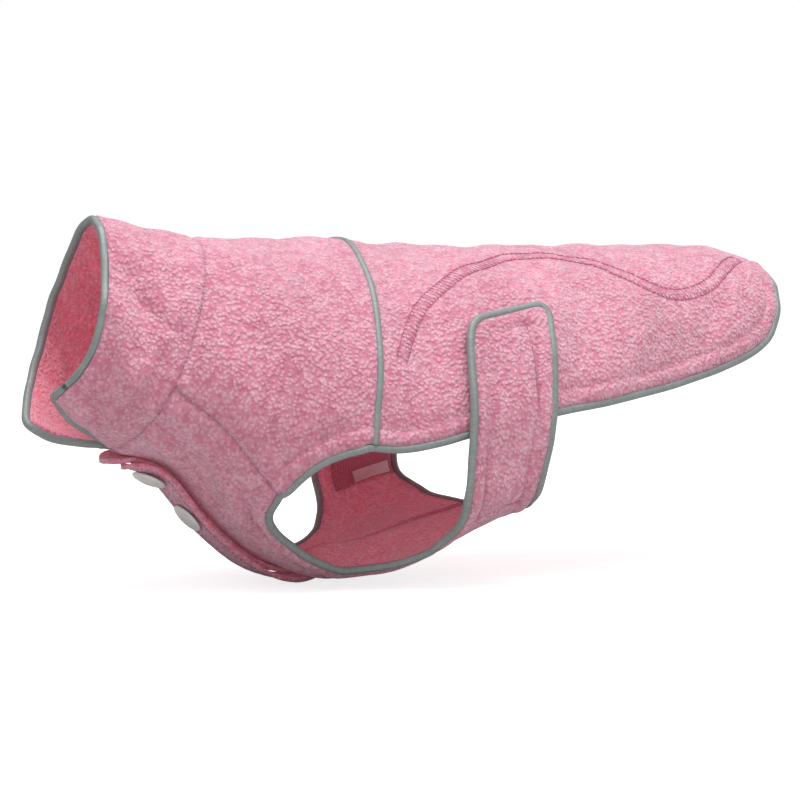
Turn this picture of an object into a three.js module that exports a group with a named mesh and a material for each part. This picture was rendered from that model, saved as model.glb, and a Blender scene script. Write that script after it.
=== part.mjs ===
// A dog's winter coat in fleece, worn and filled out with nobody in it. Millimetres.
// +X runs to the tail, +Y to the wearer's right side, +Z up. The origin lies on the inner face of
// the cloth over the withers, where the neck seam crosses the back, because the wearer holds it there.
import * as THREE from 'three';

// Cloth, seams and trims
const FLEECE = 2.2;
const SEAM_GAP = 0.3;
const BINDING_WIDTH = 3;
const BINDING_THICKNESS = 3.4;
const BINDING_SIDES = 6;
const PIPING_WIDTH = 3.2;
const CORNER_SHARE = 0.06;
const HEM_BAND = 7.6;
const HEM_PUFF = 0.5;
const HEM_GROOVE = 0.5;

// Distances on the cloth are taken with this much cloth from the ridge round to the belly
const HALF_GIRTH = 230;
const COLLAR_HEIGHT = 58;
const NECK_GAP = 0.25;
const SLIT_TURN = 0.973;
const PIPING_AT = 72.5;

// The straps come up outside the back panel, with room for the hook tape between
const STRAP_LIFT = 4.4;
const STRAP_RISE_FROM = 0.76;
const STRAP_RISE_TO = 0.56;
const TAPE_THICKNESS = 1;
const LABEL_THICKNESS = 0.6;
const HOLLOW_REACH = 22;

// Front fastening and its two snap caps
const LAP_STEP = FLEECE + 0.8;
const LOBE_DROOP = 0.45;
const LOBE_BACK = 8;
const CAP_DIAMETER = 15.6;
const CAP_HEIGHT = 2.6;
const CAP_SEGMENTS = 20;

function table(columns, rows) {
  return rows.map((row) => Object.fromEntries(columns.map((column, index) => [column, row[index]])));
}

// Cross sections of the general figure that the coat is cut for, from the neck to the tail.
// at: place along the ridge. top: height of the ridge there. floorX, floor: where the section meets
// the centre line underneath. half: half width. widest: share of the depth where it is widest.
// upper, lower: roundness of the two halves. hollow: how far the centre is drawn in underneath.
const SECTIONS = table(
  ['at', 'top', 'floorX', 'floor', 'half', 'widest', 'upper', 'lower', 'hollow'],
  [
    [-25.5, 6.6, -60.5, -86.9, 36, 0.56, 1.7, 1.7, 0],
    [0, 1.1, -39.5, -89.8, 43, 0.58, 1.8, 1.9, 0],
    [22.5, 0, -14.5, -100.3, 53, 0.6, 1.8, 2, 0],
    [46.5, 0.2, 12.5, -128.5, 64, 0.62, 1.8, 2.2, 0],
    [72.5, -0.2, 42.5, -148.6, 70, 0.62, 1.8, 2.5, 3],
    [92.5, -3, 66.5, -150.2, 71, 0.63, 1.8, 3.1, 11],
    [100, -3.2, 81, -147, 71, 0.63, 1.8, 3.9, 10],
    [108.5, -3.6, 96.5, -139.5, 71, 0.64, 1.8, 4, 6],
    [144.5, -4.3, 142.5, -123.2, 68, 0.66, 1.9, 4, 0],
    [179.5, -4.6, 179.5, -119.9, 62, 0.66, 1.9, 3, 0],
    [214.5, -4.7, 214.5, -113.9, 54, 0.66, 1.9, 3, 0],
    [244.5, -5, 244.5, -101.9, 47, 0.66, 1.9, 2.6, 0],
    [269.5, -6.4, 269.5, -88.9, 40, 0.66, 1.95, 2.4, 0],
    [294.5, -13.6, 294.5, -75.9, 31, 0.66, 2, 2.2, 0],
    [312.5, -26, 312.5, -67.9, 22, 0.66, 2, 2.2, 0],
  ],
);

// Rim of the collar on each side, from the ridge (turn 0) down to the slit at the throat
const NEAR_RIM = table(
  ['turn', 'x', 'half', 'z'],
  [
    [0, -48.5, 0, 11],
    [0.12, -49.3, 9.5, 7.5],
    [0.24, -51, 18.5, -4],
    [0.36, -53.5, 25.5, -17],
    [0.48, -56.8, 30, -31],
    [0.6, -60.8, 30, -44.5],
    [0.72, -65.6, 25, -55],
    [0.84, -70.2, 17.5, -62],
    [0.92, -70.8, 11, -65],
    [0.973, -68.5, 5, -65.5],
  ],
);
const FAR_RIM = table(
  ['turn', 'x', 'half', 'z'],
  [
    [0, -48.5, 0, 11],
    [0.12, -49.3, 9.5, 7.5],
    [0.24, -51, 18.5, -4],
    [0.36, -53.5, 25.5, -17],
    [0.48, -56.8, 30, -31],
    [0.6, -60.8, 30, -44.5],
    [0.72, -66, 25, -56.5],
    [0.84, -71.8, 17.5, -66.5],
    [0.92, -76, 10.5, -73.5],
    [0.973, -78.2, 5, -77.5],
  ],
);
const FLAP_SAG = 2.5;

// Soft folds: a row is one fold from one place to another. A positive height stands out.
const FOLDS = table(
  ['fromAt', 'fromTurn', 'toAt', 'toTurn', 'width', 'height'],
  [
    [-42, -0.3, -18, -0.52, 9, -2.6],
    [-50, -0.42, -26, -0.66, 8, 2],
    [-12, -0.34, -26, -0.7, 7, 1.6],
    [-30, 0.28, -12, 0.5, 9, -2.4],
    [-46, 0.46, -22, 0.68, 8, 1.8],
    [-10, 0.4, -24, 0.72, 7, 1.5],
    [6, -0.66, 44, -0.82, 6, 2.6],
    [4, -0.74, 34, -0.88, 6, -2.2],
    [22, -0.7, 52, -0.86, 5, -1.6],
    [8, 0.68, 42, 0.84, 6, 2.4],
    [6, 0.76, 36, 0.89, 6, -2],
    [26, -0.4, 50, -0.56, 14, -2.2],
    [18, -0.16, 44, -0.34, 12, 1.4],
    [24, 0.38, 52, 0.54, 14, -2],
    [16, 0.14, 40, 0.32, 12, 1.4],
    [84, -0.44, 100, -0.28, 8, -1.6],
    [82, 0.43, 98, 0.26, 8, -1.5],
    [160, -0.42, 178, -0.26, 10, -1.8],
    [162, 0.4, 182, 0.24, 10, -1.6],
    [182, -0.4, 214, -0.32, 11, 1.4],
    [186, 0.4, 220, 0.3, 11, 1.4],
    [232, -0.4, 266, -0.28, 10, -1.4],
    [228, 0.38, 262, 0.28, 10, -1.3],
    [68, -0.93, 104, -0.9, 6, 1.2],
    [64, 0.92, 100, 0.94, 6, 1.2],
  ],
);

// Edges of the pattern pieces, drawn on the figure as place along the ridge and turn round it
const EDGE_COLUMNS = ['at', 'turn'];
const CHEST_SEAM = table(EDGE_COLUMNS, [[0, 0.585], [8, 0.617], [16, 0.64], [27, 0.667], [36, 0.683], [45.3, 0.695]]);
const LEG_TOP = table(EDGE_COLUMNS, [
  [48.4, 0.705], [49.6, 0.66], [51.2, 0.62], [54.6, 0.572], [59.5, 0.533], [65.5, 0.508], [PIPING_AT, 0.49],
]);
const BACK_HEM = table(EDGE_COLUMNS, [
  [PIPING_AT, 0.492], [91, 0.48], [108.7, 0.481], [127, 0.484], [150, 0.483], [173, 0.476], [197, 0.469],
  [216, 0.468], [236, 0.471], [252, 0.477], [264, 0.48], [276, 0.474], [285.5, 0.452], [291.5, 0.41], [296, 0.35],
  [298.8, 0.28], [300.6, 0.2], [301.7, 0.12], [302.2, 0.04],
]);
const LEG_UNDER = table(EDGE_COLUMNS, [
  [48.4, 0.705], [47.9, 0.735], [48.7, 0.77], [50.4, 0.79], [54.5, 0.806], [59.5, 0.806], [64.6, 0.813],
  [71, 0.823], [78, 0.835], [85.5, 0.845], [92, 0.845], [97, 0.833], [100.5, 0.812], [103.5, 0.78],
]);
const STRAP_FRONT = table(EDGE_COLUMNS, [
  [103.5, 0.78], [106.2, 0.7], [107, 0.62], [106.4, 0.54], [107, 0.48], [107.5, 0.42], [107.9, 0.37], [108.6, 0.32],
  [109.8, 0.298], [112.2, 0.281], [116.5, 0.274],
]);
const STRAP_REAR = table(EDGE_COLUMNS, [
  [143.5, 0.76], [141.6, 0.7], [141.2, 0.62], [142.8, 0.54], [145.8, 0.48], [148, 0.42], [149.6, 0.37], [151.2, 0.32],
  [152.4, 0.294], [151.6, 0.272], [147.5, 0.263],
]);
const BELLY_REAR_AT = 144.5;

// Hook tape on the inner face of each strap, and the blank care label over the end of the far one
const TAPE = { fromAt: 113.5, toAt: 137.5, fromTurn: 0.325, toTurn: 0.68 };
const LABEL = { fromAt: 120.5, toAt: 136, fromTurn: 0.605, toTurn: 0.662 };

// Laps of the front fastening: from and to are places along the ridge, low and high are across the centre
const UNDERLAP = { from: -1, to: 80, low: -7, high: 14, lift: LAP_STEP };
const OVERLAP = { from: 6, to: 83, low: -13, high: 7, lift: 2 * LAP_STEP };
const SNAPS = table(
  ['name', 'at', 'across', 'rise'],
  [['snap_cap_upper', 18.5, -3.5, 1.05], ['snap_cap_lower', 37, -3.5, 0.6]],
);

// Mesh density
const COLLAR_ROWS = 9;
const COLLAR_COLUMNS = 26;
const STEP_AT = 1;
const STEP_TURN = 0.004;

// Smooth curve through the rows of a table: the slope at a row is that of its two neighbours
function readSmooth(rows, key, column, place) {
  let index = 0;
  while (index < rows.length - 2 && rows[index + 1][key] < place) index += 1;
  const slope = (row) => {
    if (row === 0 || row === rows.length - 1) {
      const other = row === 0 ? 1 : row - 1;
      return (rows[other][column] - rows[row][column]) / (rows[other][key] - rows[row][key]);
    }
    const before = rows[row][key] - rows[row - 1][key];
    const after = rows[row + 1][key] - rows[row][key];
    const risen = (rows[row][column] - rows[row - 1][column]) / before;
    const rising = (rows[row + 1][column] - rows[row][column]) / after;
    return (risen * after + rising * before) / (before + after);
  };
  const start = rows[index];
  const end = rows[index + 1];
  const gap = end[key] - start[key];
  const t = (place - start[key]) / gap;
  const rest = 1 - t;
  return (
    (1 + 2 * t) * rest * rest * start[column] + t * rest * rest * gap * slope(index)
    + t * t * (3 - 2 * t) * end[column] - t * t * rest * gap * slope(index + 1)
  );
}

function smoothStep(value) {
  const held = Math.min(1, Math.max(0, value));
  return held * held * (3 - 2 * held);
}

// The figure: each half of a section is a superellipse between its ridge, widest and floor levels
function bodyPoint(at, turn) {
  const size = Math.abs(turn);
  const read = (column) => readSmooth(SECTIONS, 'at', column, at);
  const isUpper = size < 0.5;
  const power = 2 / read(isUpper ? 'upper' : 'lower');
  const angle = Math.PI * size;
  const level = Math.abs(Math.cos(angle)) ** power;
  const across = read('half') * Math.max(0, Math.sin(angle)) ** power;
  const widest = read('widest');
  const depth = isUpper ? widest * (1 - level) : widest + (1 - widest) * level;
  const hollow = isUpper ? 0 : read('hollow') * Math.exp(-((across / HOLLOW_REACH) ** 2));
  const top = read('top');
  return new THREE.Vector3(
    at + (read('floorX') - at) * depth,
    Math.sign(turn || 1) * across,
    top + (read('floor') - top) * depth + hollow,
  );
}

// The collar runs straight from the neck seam to its rim, and its flaps sag along the slit
function collarPoint(at, turn) {
  const rim = turn < 0 ? NEAR_RIM : FAR_RIM;
  const size = Math.min(SLIT_TURN, Math.abs(turn));
  const read = (column) => readSmooth(rim, 'turn', column, size);
  const seam = bodyPoint(0, Math.sign(turn || 1) * size);
  const share = -at / COLLAR_HEIGHT;
  const edge = new THREE.Vector3(read('x'), Math.sign(turn || 1) * read('half'), read('z'));
  const point = seam.lerp(edge, share);
  point.z -= FLAP_SAG * Math.sin(Math.PI * Math.min(1, share)) * (size / SLIT_TURN) ** 6;
  return point;
}

function foldHeight(at, turn) {
  let height = 0;
  for (const fold of FOLDS) {
    const alongAt = fold.toAt - fold.fromAt;
    const alongTurn = (fold.toTurn - fold.fromTurn) * HALF_GIRTH;
    const length = Math.hypot(alongAt, alongTurn);
    const fromAt = at - fold.fromAt;
    const fromTurn = (turn - fold.fromTurn) * HALF_GIRTH;
    const along = (fromAt * alongAt + fromTurn * alongTurn) / length;
    const aside = (fromAt * alongTurn - fromTurn * alongAt) / length;
    const past = Math.max(0, -along, along - length);
    height += fold.height * Math.exp(-((aside / fold.width) ** 2) - (past / fold.width) ** 2);
  }
  return height;
}

function wrapTurn(turn) {
  if (turn > 1) return turn - 2;
  return turn < -1 ? turn + 2 : turn;
}

// Outward normal of a surface of two parameters, from points on either side
function normalOf(surface, at, turn) {
  const alongAt = surface(at + STEP_AT, turn).sub(surface(at - STEP_AT, turn));
  const alongTurn = surface(at, wrapTurn(turn + STEP_TURN)).sub(surface(at, wrapTurn(turn - STEP_TURN)));
  return alongAt.cross(alongTurn).normalize();
}

const baseSurface = (at, turn) => (at < 0 ? collarPoint(at, turn) : bodyPoint(at, turn));
const noLift = () => 0;
const strapLift = (turn) => STRAP_LIFT
  * smoothStep((STRAP_RISE_FROM - Math.abs(turn)) / (STRAP_RISE_FROM - STRAP_RISE_TO));

// Middle of the cloth: the figure, its folds, and the height at which a piece lies over it
function clothSurface(lift, base = baseSurface) {
  return (at, turn) => {
    const height = foldHeight(at, turn) + lift(turn, at);
    return base(at, turn).addScaledVector(normalOf(base, at, turn), height);
  };
}

const onFigure = clothSurface(noLift);
const onStrap = clothSurface(strapLift);

// A spot is a point of a piece with its normal. Panels of the two sides keep the seam gap at the centre.
function makeSpot(surface, place, side = 0) {
  const point = surface(place.at, place.turn);
  if (side !== 0 && side * point.y < SEAM_GAP / 2) point.y = (side * SEAM_GAP) / 2;
  return { at: place.at, turn: place.turn, point, normal: normalOf(surface, place.at, place.turn), proud: 0 };
}

// A pattern edge as a smooth curve, read by its share of the length
function edgeThrough(rows, side) {
  const points = rows.map((row) => new THREE.Vector3(row.at, side * row.turn * HALF_GIRTH, 0));
  const curve = new THREE.CatmullRomCurve3(points, false, 'centripetal');
  return (share) => {
    const point = curve.getPointAt(Math.min(1, Math.max(0, share)));
    return { at: point.x, turn: point.y / HALF_GIRTH };
  };
}

// The same edge moved into the cloth by a distance, worked out on the surface. Way is +1 or -1.
function moveEdge(edge, surface, distance, way) {
  const step = 0.004;
  return (share) => {
    const here = edge(share);
    const ahead = edge(share + step);
    const behind = edge(share - step);
    const run = surface(ahead.at, ahead.turn).sub(surface(behind.at, behind.turn));
    const normal = normalOf(surface, here.at, here.turn);
    const move = normal.cross(run).normalize().multiplyScalar(way * distance);
    const byAt = surface(here.at + STEP_AT, here.turn).sub(surface(here.at - STEP_AT, here.turn));
    byAt.divideScalar(2 * STEP_AT);
    const low = wrapTurn(here.turn - STEP_TURN);
    const byTurn = surface(here.at, wrapTurn(here.turn + STEP_TURN)).sub(surface(here.at, low));
    byTurn.divideScalar(2 * STEP_TURN);
    const mixed = byAt.dot(byTurn);
    const spread = byAt.lengthSq() * byTurn.lengthSq() - mixed * mixed;
    const at = (move.dot(byAt) * byTurn.lengthSq() - move.dot(byTurn) * mixed) / spread;
    const turn = (move.dot(byTurn) * byAt.lengthSq() - move.dot(byAt) * mixed) / spread;
    return { at: here.at + at, turn: here.turn + turn };
  };
}

function sampleEdge(edge, steps, from = 0, to = 1) {
  return Array.from({ length: steps + 1 }, (_, index) => edge(from + ((to - from) * index) / steps));
}

function mix(start, end, share) {
  return { at: start.at + (end.at - start.at) * share, turn: start.turn + (end.turn - start.turn) * share };
}

// Places on a row from one edge to another, set close together at each bound edge for the hem band
function rowPlaces(surface, start, end, middleSteps, boundStart, boundEnd) {
  const pieces = 12;
  let length = 0;
  for (let index = 0; index < pieces; index += 1) {
    const here = mix(start, end, index / pieces);
    const next = mix(start, end, (index + 1) / pieces);
    length += surface(here.at, here.turn).distanceTo(surface(next.at, next.turn));
  }
  const band = [0, HEM_BAND / 2, HEM_BAND].map((distance) => distance / length);
  const low = boundStart ? band : [0];
  const high = boundEnd ? band.map((share) => 1 - share).reverse() : [1];
  const first = low[low.length - 1];
  const last = high[0];
  const shares = [...low];
  for (let step = 1; step < middleSteps; step += 1) shares.push(first + ((last - first) * step) / middleSteps);
  shares.push(...high);
  return shares.map((share) => mix(start, end, share));
}

// A sheet is the middle of a cloth piece: spots, each kept once, and four-sided faces between them
class Sheet {
  constructor() {
    this.spots = [];
    this.faces = [];
    this.known = new Map();
  }

  addSpot(spot) {
    const key = spot.point.toArray().map((value) => Math.round(value * 1000)).join(' ');
    if (!this.known.has(key)) {
      this.known.set(key, this.spots.length);
      this.spots.push(spot);
    }
    return this.known.get(key);
  }

  // Rows run the way that leaves the faces pointing out, or the other way round when flipped
  addGrid(rows, flipped) {
    const ids = rows.map((row) => row.map((spot) => this.addSpot(spot)));
    for (let row = 0; row + 1 < ids.length; row += 1) {
      for (let column = 0; column + 1 < ids[row].length; column += 1) {
        const face = [ids[row][column], ids[row + 1][column], ids[row + 1][column + 1], ids[row][column + 1]];
        this.faces.push(flipped ? face.reverse() : face);
      }
    }
  }

  // The band turned in along a bound edge stands out, with a groove at its stitch line
  raiseBand(edgeSpots) {
    const edge = edgeSpots.map((spot) => spot.point);
    const line = new THREE.Line3();
    const nearest = new THREE.Vector3();
    for (const spot of this.spots) {
      let distance = Infinity;
      for (let index = 0; index + 1 < edge.length; index += 1) {
        line.set(edge[index], edge[index + 1]).closestPointToPoint(spot.point, true, nearest);
        distance = Math.min(distance, nearest.distanceTo(spot.point));
      }
      const rise = Math.sin(Math.min(1, distance / HEM_BAND) * Math.PI) * HEM_PUFF;
      const dip = Math.exp(-(((distance - HEM_BAND) / 2) ** 2)) * HEM_GROOVE;
      spot.proud = rise - dip;
    }
  }

  // Closed wall: outer face, inner face and the cut edges between them
  wall(thickness) {
    const corners = [];
    const count = this.spots.length;
    for (const spot of this.spots) corners.push(spot.point.clone().addScaledVector(spot.normal, thickness / 2 + spot.proud));
    for (const spot of this.spots) corners.push(spot.point.clone().addScaledVector(spot.normal, -thickness / 2));
    const triangles = [];
    const addTriangle = (a, b, c) => {
      if (a !== b && b !== c && c !== a) triangles.push(a, b, c);
    };
    const edges = new Map();
    for (const face of this.faces) {
      const loop = face.filter((id, index) => id !== face[(index + 1) % face.length]);
      for (let index = 1; index + 1 < loop.length; index += 1) {
        addTriangle(loop[0], loop[index], loop[index + 1]);
        addTriangle(loop[0] + count, loop[index + 1] + count, loop[index] + count);
      }
      loop.forEach((id, index) => {
        const next = loop[(index + 1) % loop.length];
        edges.set(`${id} ${next}`, [id, next]);
      });
    }
    for (const [id, next] of edges.values()) {
      if (edges.has(`${next} ${id}`)) continue;
      addTriangle(next, id, id + count);
      addTriangle(next, id + count, next + count);
    }
    return solidFrom(corners, triangles);
  }
}

function solidFrom(corners, triangles) {
  const geometry = new THREE.BufferGeometry();
  geometry.setAttribute('position', new THREE.Float32BufferAttribute(corners.flatMap((corner) => corner.toArray()), 3));
  geometry.setIndex(triangles);
  geometry.computeVertexNormals();
  return geometry;
}

// Binding: an oval strip that follows a cut edge just outside it. Way is +1 or -1, the open side.
// A lead is the spot before the first or after the last one: it sets the slant of that end.
function bindingAlong(spots, way, { lead = {}, width = BINDING_WIDTH, offset = SEAM_GAP + width / 2 } = {}) {
  const corners = [];
  const triangles = [];
  const sides = BINDING_SIDES;
  const thickness = BINDING_THICKNESS;
  const last = spots.length - 1;
  spots.forEach((spot, index) => {
    const previous = spots[index - 1] ?? lead.first ?? spot;
    const following = spots[index + 1] ?? lead.last ?? spot;
    const before = spot.point.clone().sub(previous.point).normalize();
    const after = following.point.clone().sub(spot.point).normalize();
    const run = before.clone().add(after).normalize();
    const open = run.clone().cross(spot.normal).normalize().multiplyScalar(way);
    const mitre = 1 / Math.max(0.6, run.dot(index < last ? after : before));
    const centre = spot.point.clone().addScaledVector(open, offset * mitre);
    for (let side = 0; side < sides; side += 1) {
      const angle = ((side + 0.5) / sides) * 2 * Math.PI;
      const fullness = 1 / Math.cos(Math.PI / sides);
      corners.push(centre.clone()
        .addScaledVector(open, Math.cos(angle) * (width / 2) * fullness * mitre)
        .addScaledVector(spot.normal, Math.sin(angle) * (thickness / 2)));
    }
  });
  const addTriangle = (a, b, c) => triangles.push(...(way > 0 ? [a, c, b] : [a, b, c]));
  for (let ring = 0; ring + 1 < spots.length; ring += 1) {
    for (let side = 0; side < sides; side += 1) {
      const next = (side + 1) % sides;
      const here = ring * sides;
      addTriangle(here + side, here + next, here + sides + next);
      addTriangle(here + side, here + sides + next, here + sides + side);
    }
  }
  const end = last * sides;
  for (let side = 1; side + 1 < sides; side += 1) {
    addTriangle(0, side + 1, side);
    addTriangle(end, end + side, end + side + 1);
  }
  return solidFrom(corners, triangles);
}

const fleece = (name) => new THREE.MeshStandardMaterial({ name, color: '#e3a3b6', roughness: 0.95, metalness: 0 });
const bindingGrey = () => new THREE.MeshStandardMaterial({ name: 'reflective_binding', color: '#8d9795', roughness: 0.45 });
const whitePlastic = () => new THREE.MeshStandardMaterial({ name: 'snap_white', color: '#dcdcda', roughness: 0.35 });
const hookTape = () => new THREE.MeshStandardMaterial({ name: 'hook_tape', color: '#d98ba6', roughness: 0.85 });
const whiteTape = () => new THREE.MeshStandardMaterial({ name: 'label_white', color: '#eeeae8', roughness: 0.7 });

const coat = new THREE.Group();
coat.name = 'dog_winter_coat';

function addPiece(name, geometry, material) {
  const mesh = new THREE.Mesh(geometry, material);
  mesh.name = name;
  coat.add(mesh);
}

const spotsOn = (surface, places, side) => places.map((place) => makeSpot(surface, place, side));
const SIDES = [{ name: 'near', side: -1 }, { name: 'far', side: 1 }];
const BOUND_INSET = BINDING_WIDTH + SEAM_GAP;

// Collar, with its binding round the rim and down both sides of the slit
{
  const rows = [];
  const rimAt = -(COLLAR_HEIGHT - BOUND_INSET);
  for (let row = 0; row <= COLLAR_ROWS; row += 1) {
    const at = -NECK_GAP + ((rimAt + NECK_GAP) * row) / COLLAR_ROWS;
    const places = Array.from({ length: COLLAR_COLUMNS + 1 }, (_, column) => ({
      at, turn: SLIT_TURN * ((2 * column) / COLLAR_COLUMNS - 1),
    }));
    rows.push(spotsOn(onFigure, places, 0));
  }
  const sheet = new Sheet();
  sheet.addGrid(rows, true);
  addPiece('collar', sheet.wall(FLEECE), fleece('collar_fleece'));
  const nearSide = rows.map((row) => row[0]);
  const farSide = rows.map((row) => row[row.length - 1]).reverse();
  const rim = rows[rows.length - 1].slice(1, -1);
  addPiece('collar_binding', bindingAlong([...nearSide, ...rim, ...farSide], -1), bindingGrey());
}

// Yoke: from the neck seam to the piping, over the back and down to the chest seam and the leg opening
const yokeEdge = {};
{
  const sheet = new Sheet();
  const bound = [];
  const piping = [];
  for (const { name, side } of SIDES) {
    const seam = moveEdge(edgeThrough(CHEST_SEAM, side), onFigure, SEAM_GAP / 2, -side);
    const leg = moveEdge(edgeThrough(LEG_TOP, side), onFigure, BOUND_INSET, -side);
    const seamSteps = 7;
    const seamPlaces = sampleEdge(seam, seamSteps);
    const legPlaces = sampleEdge(leg, 8, 0.1, 1);
    const under = [...seamPlaces, ...legPlaces];
    under[0] = { at: NECK_GAP, turn: under[0].turn };
    const endAt = PIPING_AT - PIPING_WIDTH / 2 - SEAM_GAP;
    under[under.length - 1] = { at: endAt, turn: under[under.length - 1].turn };
    const rows = under.map((place, row) => {
      const start = { at: NECK_GAP + ((endAt - NECK_GAP) * row) / (under.length - 1), turn: 0 };
      return spotsOn(onFigure, rowPlaces(onFigure, start, place, 9, false, true), 0);
    });
    sheet.addGrid(rows, side < 0);
    yokeEdge[name] = rows.slice(seamSteps).map((row) => row[row.length - 1]);
    bound.push(yokeEdge[name]);
    piping.push(under[under.length - 1].turn);
  }
  sheet.raiseBand(bound[0]);
  const nearProud = sheet.spots.map((spot) => spot.proud);
  sheet.raiseBand(bound[1]);
  sheet.spots.forEach((spot, index) => {
    spot.proud = spot.turn < 0 ? nearProud[index] : spot.proud;
  });
  addPiece('yoke', sheet.wall(FLEECE), fleece('yoke_fleece'));
}

// Back panel: from the piping to the rounded tail, down to the hem on both sides
const hemEdge = {};
{
  const sheet = new Sheet();
  const startAt = PIPING_AT + PIPING_WIDTH / 2 + SEAM_GAP;
  const hemSteps = 28;
  const ridge = [];
  for (const { name, side } of SIDES) {
    const hem = moveEdge(edgeThrough(BACK_HEM, side), onFigure, BOUND_INSET, -side);
    const places = sampleEdge(hem, hemSteps);
    places[0] = { at: startAt, turn: places[0].turn };
    const tailAt = places[places.length - 1].at;
    const rows = places.map((place, row) => {
      const share = (place.at - startAt) / (tailAt - startAt);
      const even = row / hemSteps;
      ridge[row] ??= { at: startAt + (tailAt - startAt) * (share * 0.7 + even * 0.3), turn: 0 };
      return spotsOn(onFigure, rowPlaces(onFigure, ridge[row], place, 9, false, true), 0);
    });
    sheet.addGrid(rows, side < 0);
    hemEdge[name] = rows.map((row) => row[row.length - 1]);
  }
  sheet.raiseBand([...hemEdge.near, ...[...hemEdge.far].reverse()]);
  addPiece('back_panel', sheet.wall(FLEECE), fleece('back_fleece'));
}

// Piping between the yoke and the back panel
{
  const turns = 26;
  const reach = yokeEdge.far[yokeEdge.far.length - 1].turn;
  const places = Array.from({ length: turns + 1 }, (_, index) => ({
    at: PIPING_AT, turn: reach * ((2 * index) / turns - 1),
  }));
  const spots = spotsOn(onFigure, places, 0);
  addPiece('shoulder_piping', bindingAlong(spots, 1, { width: PIPING_WIDTH, offset: 0 }), bindingGrey());
}

// Chest and belly, one half for each side, with the strap in the same piece
const chestEdge = {};
for (const { name, side } of SIDES) {
  const seamSteps = 7;
  const legSteps = 13;
  const seam = moveEdge(edgeThrough(CHEST_SEAM, side), onFigure, SEAM_GAP / 2, side);
  const leg = moveEdge(edgeThrough(LEG_UNDER, side), onFigure, BOUND_INSET, side);
  const front = moveEdge(edgeThrough(STRAP_FRONT, side), onStrap, BOUND_INSET, side);
  const rear = moveEdge(edgeThrough(STRAP_REAR, side), onStrap, BOUND_INSET, -side);
  const legPlaces = sampleEdge(leg, legSteps, 0.06, 1);
  const frontPlaces = [legPlaces[legSteps], ...sampleEdge(front, 15, 0.06, 1)];
  const rearPlaces = sampleEdge(rear, 15);
  rearPlaces.splice(1, 0, mix(rearPlaces[0], rearPlaces[1], 0.5));
  const strapRows = frontPlaces.map((place, row) => spotsOn(
    onStrap, rowPlaces(onStrap, place, rearPlaces[row], 2, true, true), side));
  const cornerLine = strapRows[0];
  const seamPlaces = sampleEdge(seam, seamSteps);
  seamPlaces[0] = { at: NECK_GAP, turn: seamPlaces[0].turn };
  const outer = [...seamPlaces, ...legPlaces.slice(0, -1), ...cornerLine];
  const endAt = BELLY_REAR_AT - BOUND_INSET;
  const stripRows = outer.map((place, row) => {
    const share = row / (outer.length - 1);
    const start = { at: NECK_GAP + (endAt - NECK_GAP) * share, turn: side };
    return spotsOn(onStrap, rowPlaces(onStrap, start, place, 5, false, true), side);
  });
  const sheet = new Sheet();
  sheet.addGrid(stripRows, side > 0);
  sheet.addGrid(strapRows, side < 0);
  const legEdge = stripRows.slice(seamSteps, seamSteps + 1 + legSteps).map((row) => row[row.length - 1]);
  const strapFront = strapRows.map((row) => row[0]);
  const strapEnd = strapRows[strapRows.length - 1].slice(1, -1);
  const strapRear = strapRows.map((row) => row[row.length - 1]).reverse();
  const bellyRear = [...stripRows[stripRows.length - 1]].reverse().slice(1);
  const edge = [...legEdge, ...strapFront, ...strapEnd, ...strapRear, ...bellyRear];
  chestEdge[name] = edge;
  sheet.raiseBand(edge);
  addPiece(`chest_and_strap_${name}`, sheet.wall(FLEECE), fleece(`chest_${name}_fleece`));
  addPiece(`strap_binding_${name}`, bindingAlong(edge, side, { lead: { first: yokeEdge[name][1] } }), bindingGrey());
}

// Body binding: along the top of one leg opening, the hem, round the tail and back on the other side
{
  const path = [...yokeEdge.near, ...hemEdge.near, ...[...hemEdge.far].reverse(), ...[...yokeEdge.far].reverse()];
  const lead = { first: chestEdge.near[1], last: chestEdge.far[1] };
  for (const [end, next] of [[0, 1], [path.length - 1, path.length - 2]]) {
    path[end] = { ...path[end], point: path[end].point.clone().lerp(path[next].point, CORNER_SHARE) };
  }
  addPiece('hem_binding', bindingAlong(path, 1, { lead }), bindingGrey());
}

// Flat patches sewn to the inner faces of the straps
function patchOnStrap(area, side, thickness, stepsAt, stepsTurn, under = 0) {
  const below = FLEECE / 2 + SEAM_GAP + thickness / 2 + under;
  const surface = clothSurface((turn) => strapLift(turn) - below);
  const rows = [];
  for (let row = 0; row <= stepsTurn; row += 1) {
    const turn = side * (area.fromTurn + ((area.toTurn - area.fromTurn) * row) / stepsTurn);
    const places = Array.from({ length: stepsAt + 1 }, (_, column) => ({
      at: area.fromAt + ((area.toAt - area.fromAt) * column) / stepsAt, turn,
    }));
    rows.push(spotsOn(surface, places, 0));
  }
  const sheet = new Sheet();
  sheet.addGrid(rows, side > 0);
  return sheet.wall(thickness);
}
for (const { name, side } of SIDES) {
  addPiece(`hook_tape_${name}`, patchOnStrap(TAPE, side, TAPE_THICKNESS, 3, 10), hookTape());
}
const labelDepth = TAPE_THICKNESS + SEAM_GAP;
addPiece('care_label', patchOnStrap(LABEL, 1, LABEL_THICKNESS, 3, 3, labelDepth), whiteTape());

// Turn of the place that lies a distance across the centre line underneath
function turnAcross(at, across) {
  const half = readSmooth(SECTIONS, 'at', 'half', at);
  const lower = readSmooth(SECTIONS, 'at', 'lower', at);
  const angle = Math.asin((Math.abs(across) / half) ** (lower / 2));
  return Math.sign(across || 1) * (1 - angle / Math.PI);
}

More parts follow.
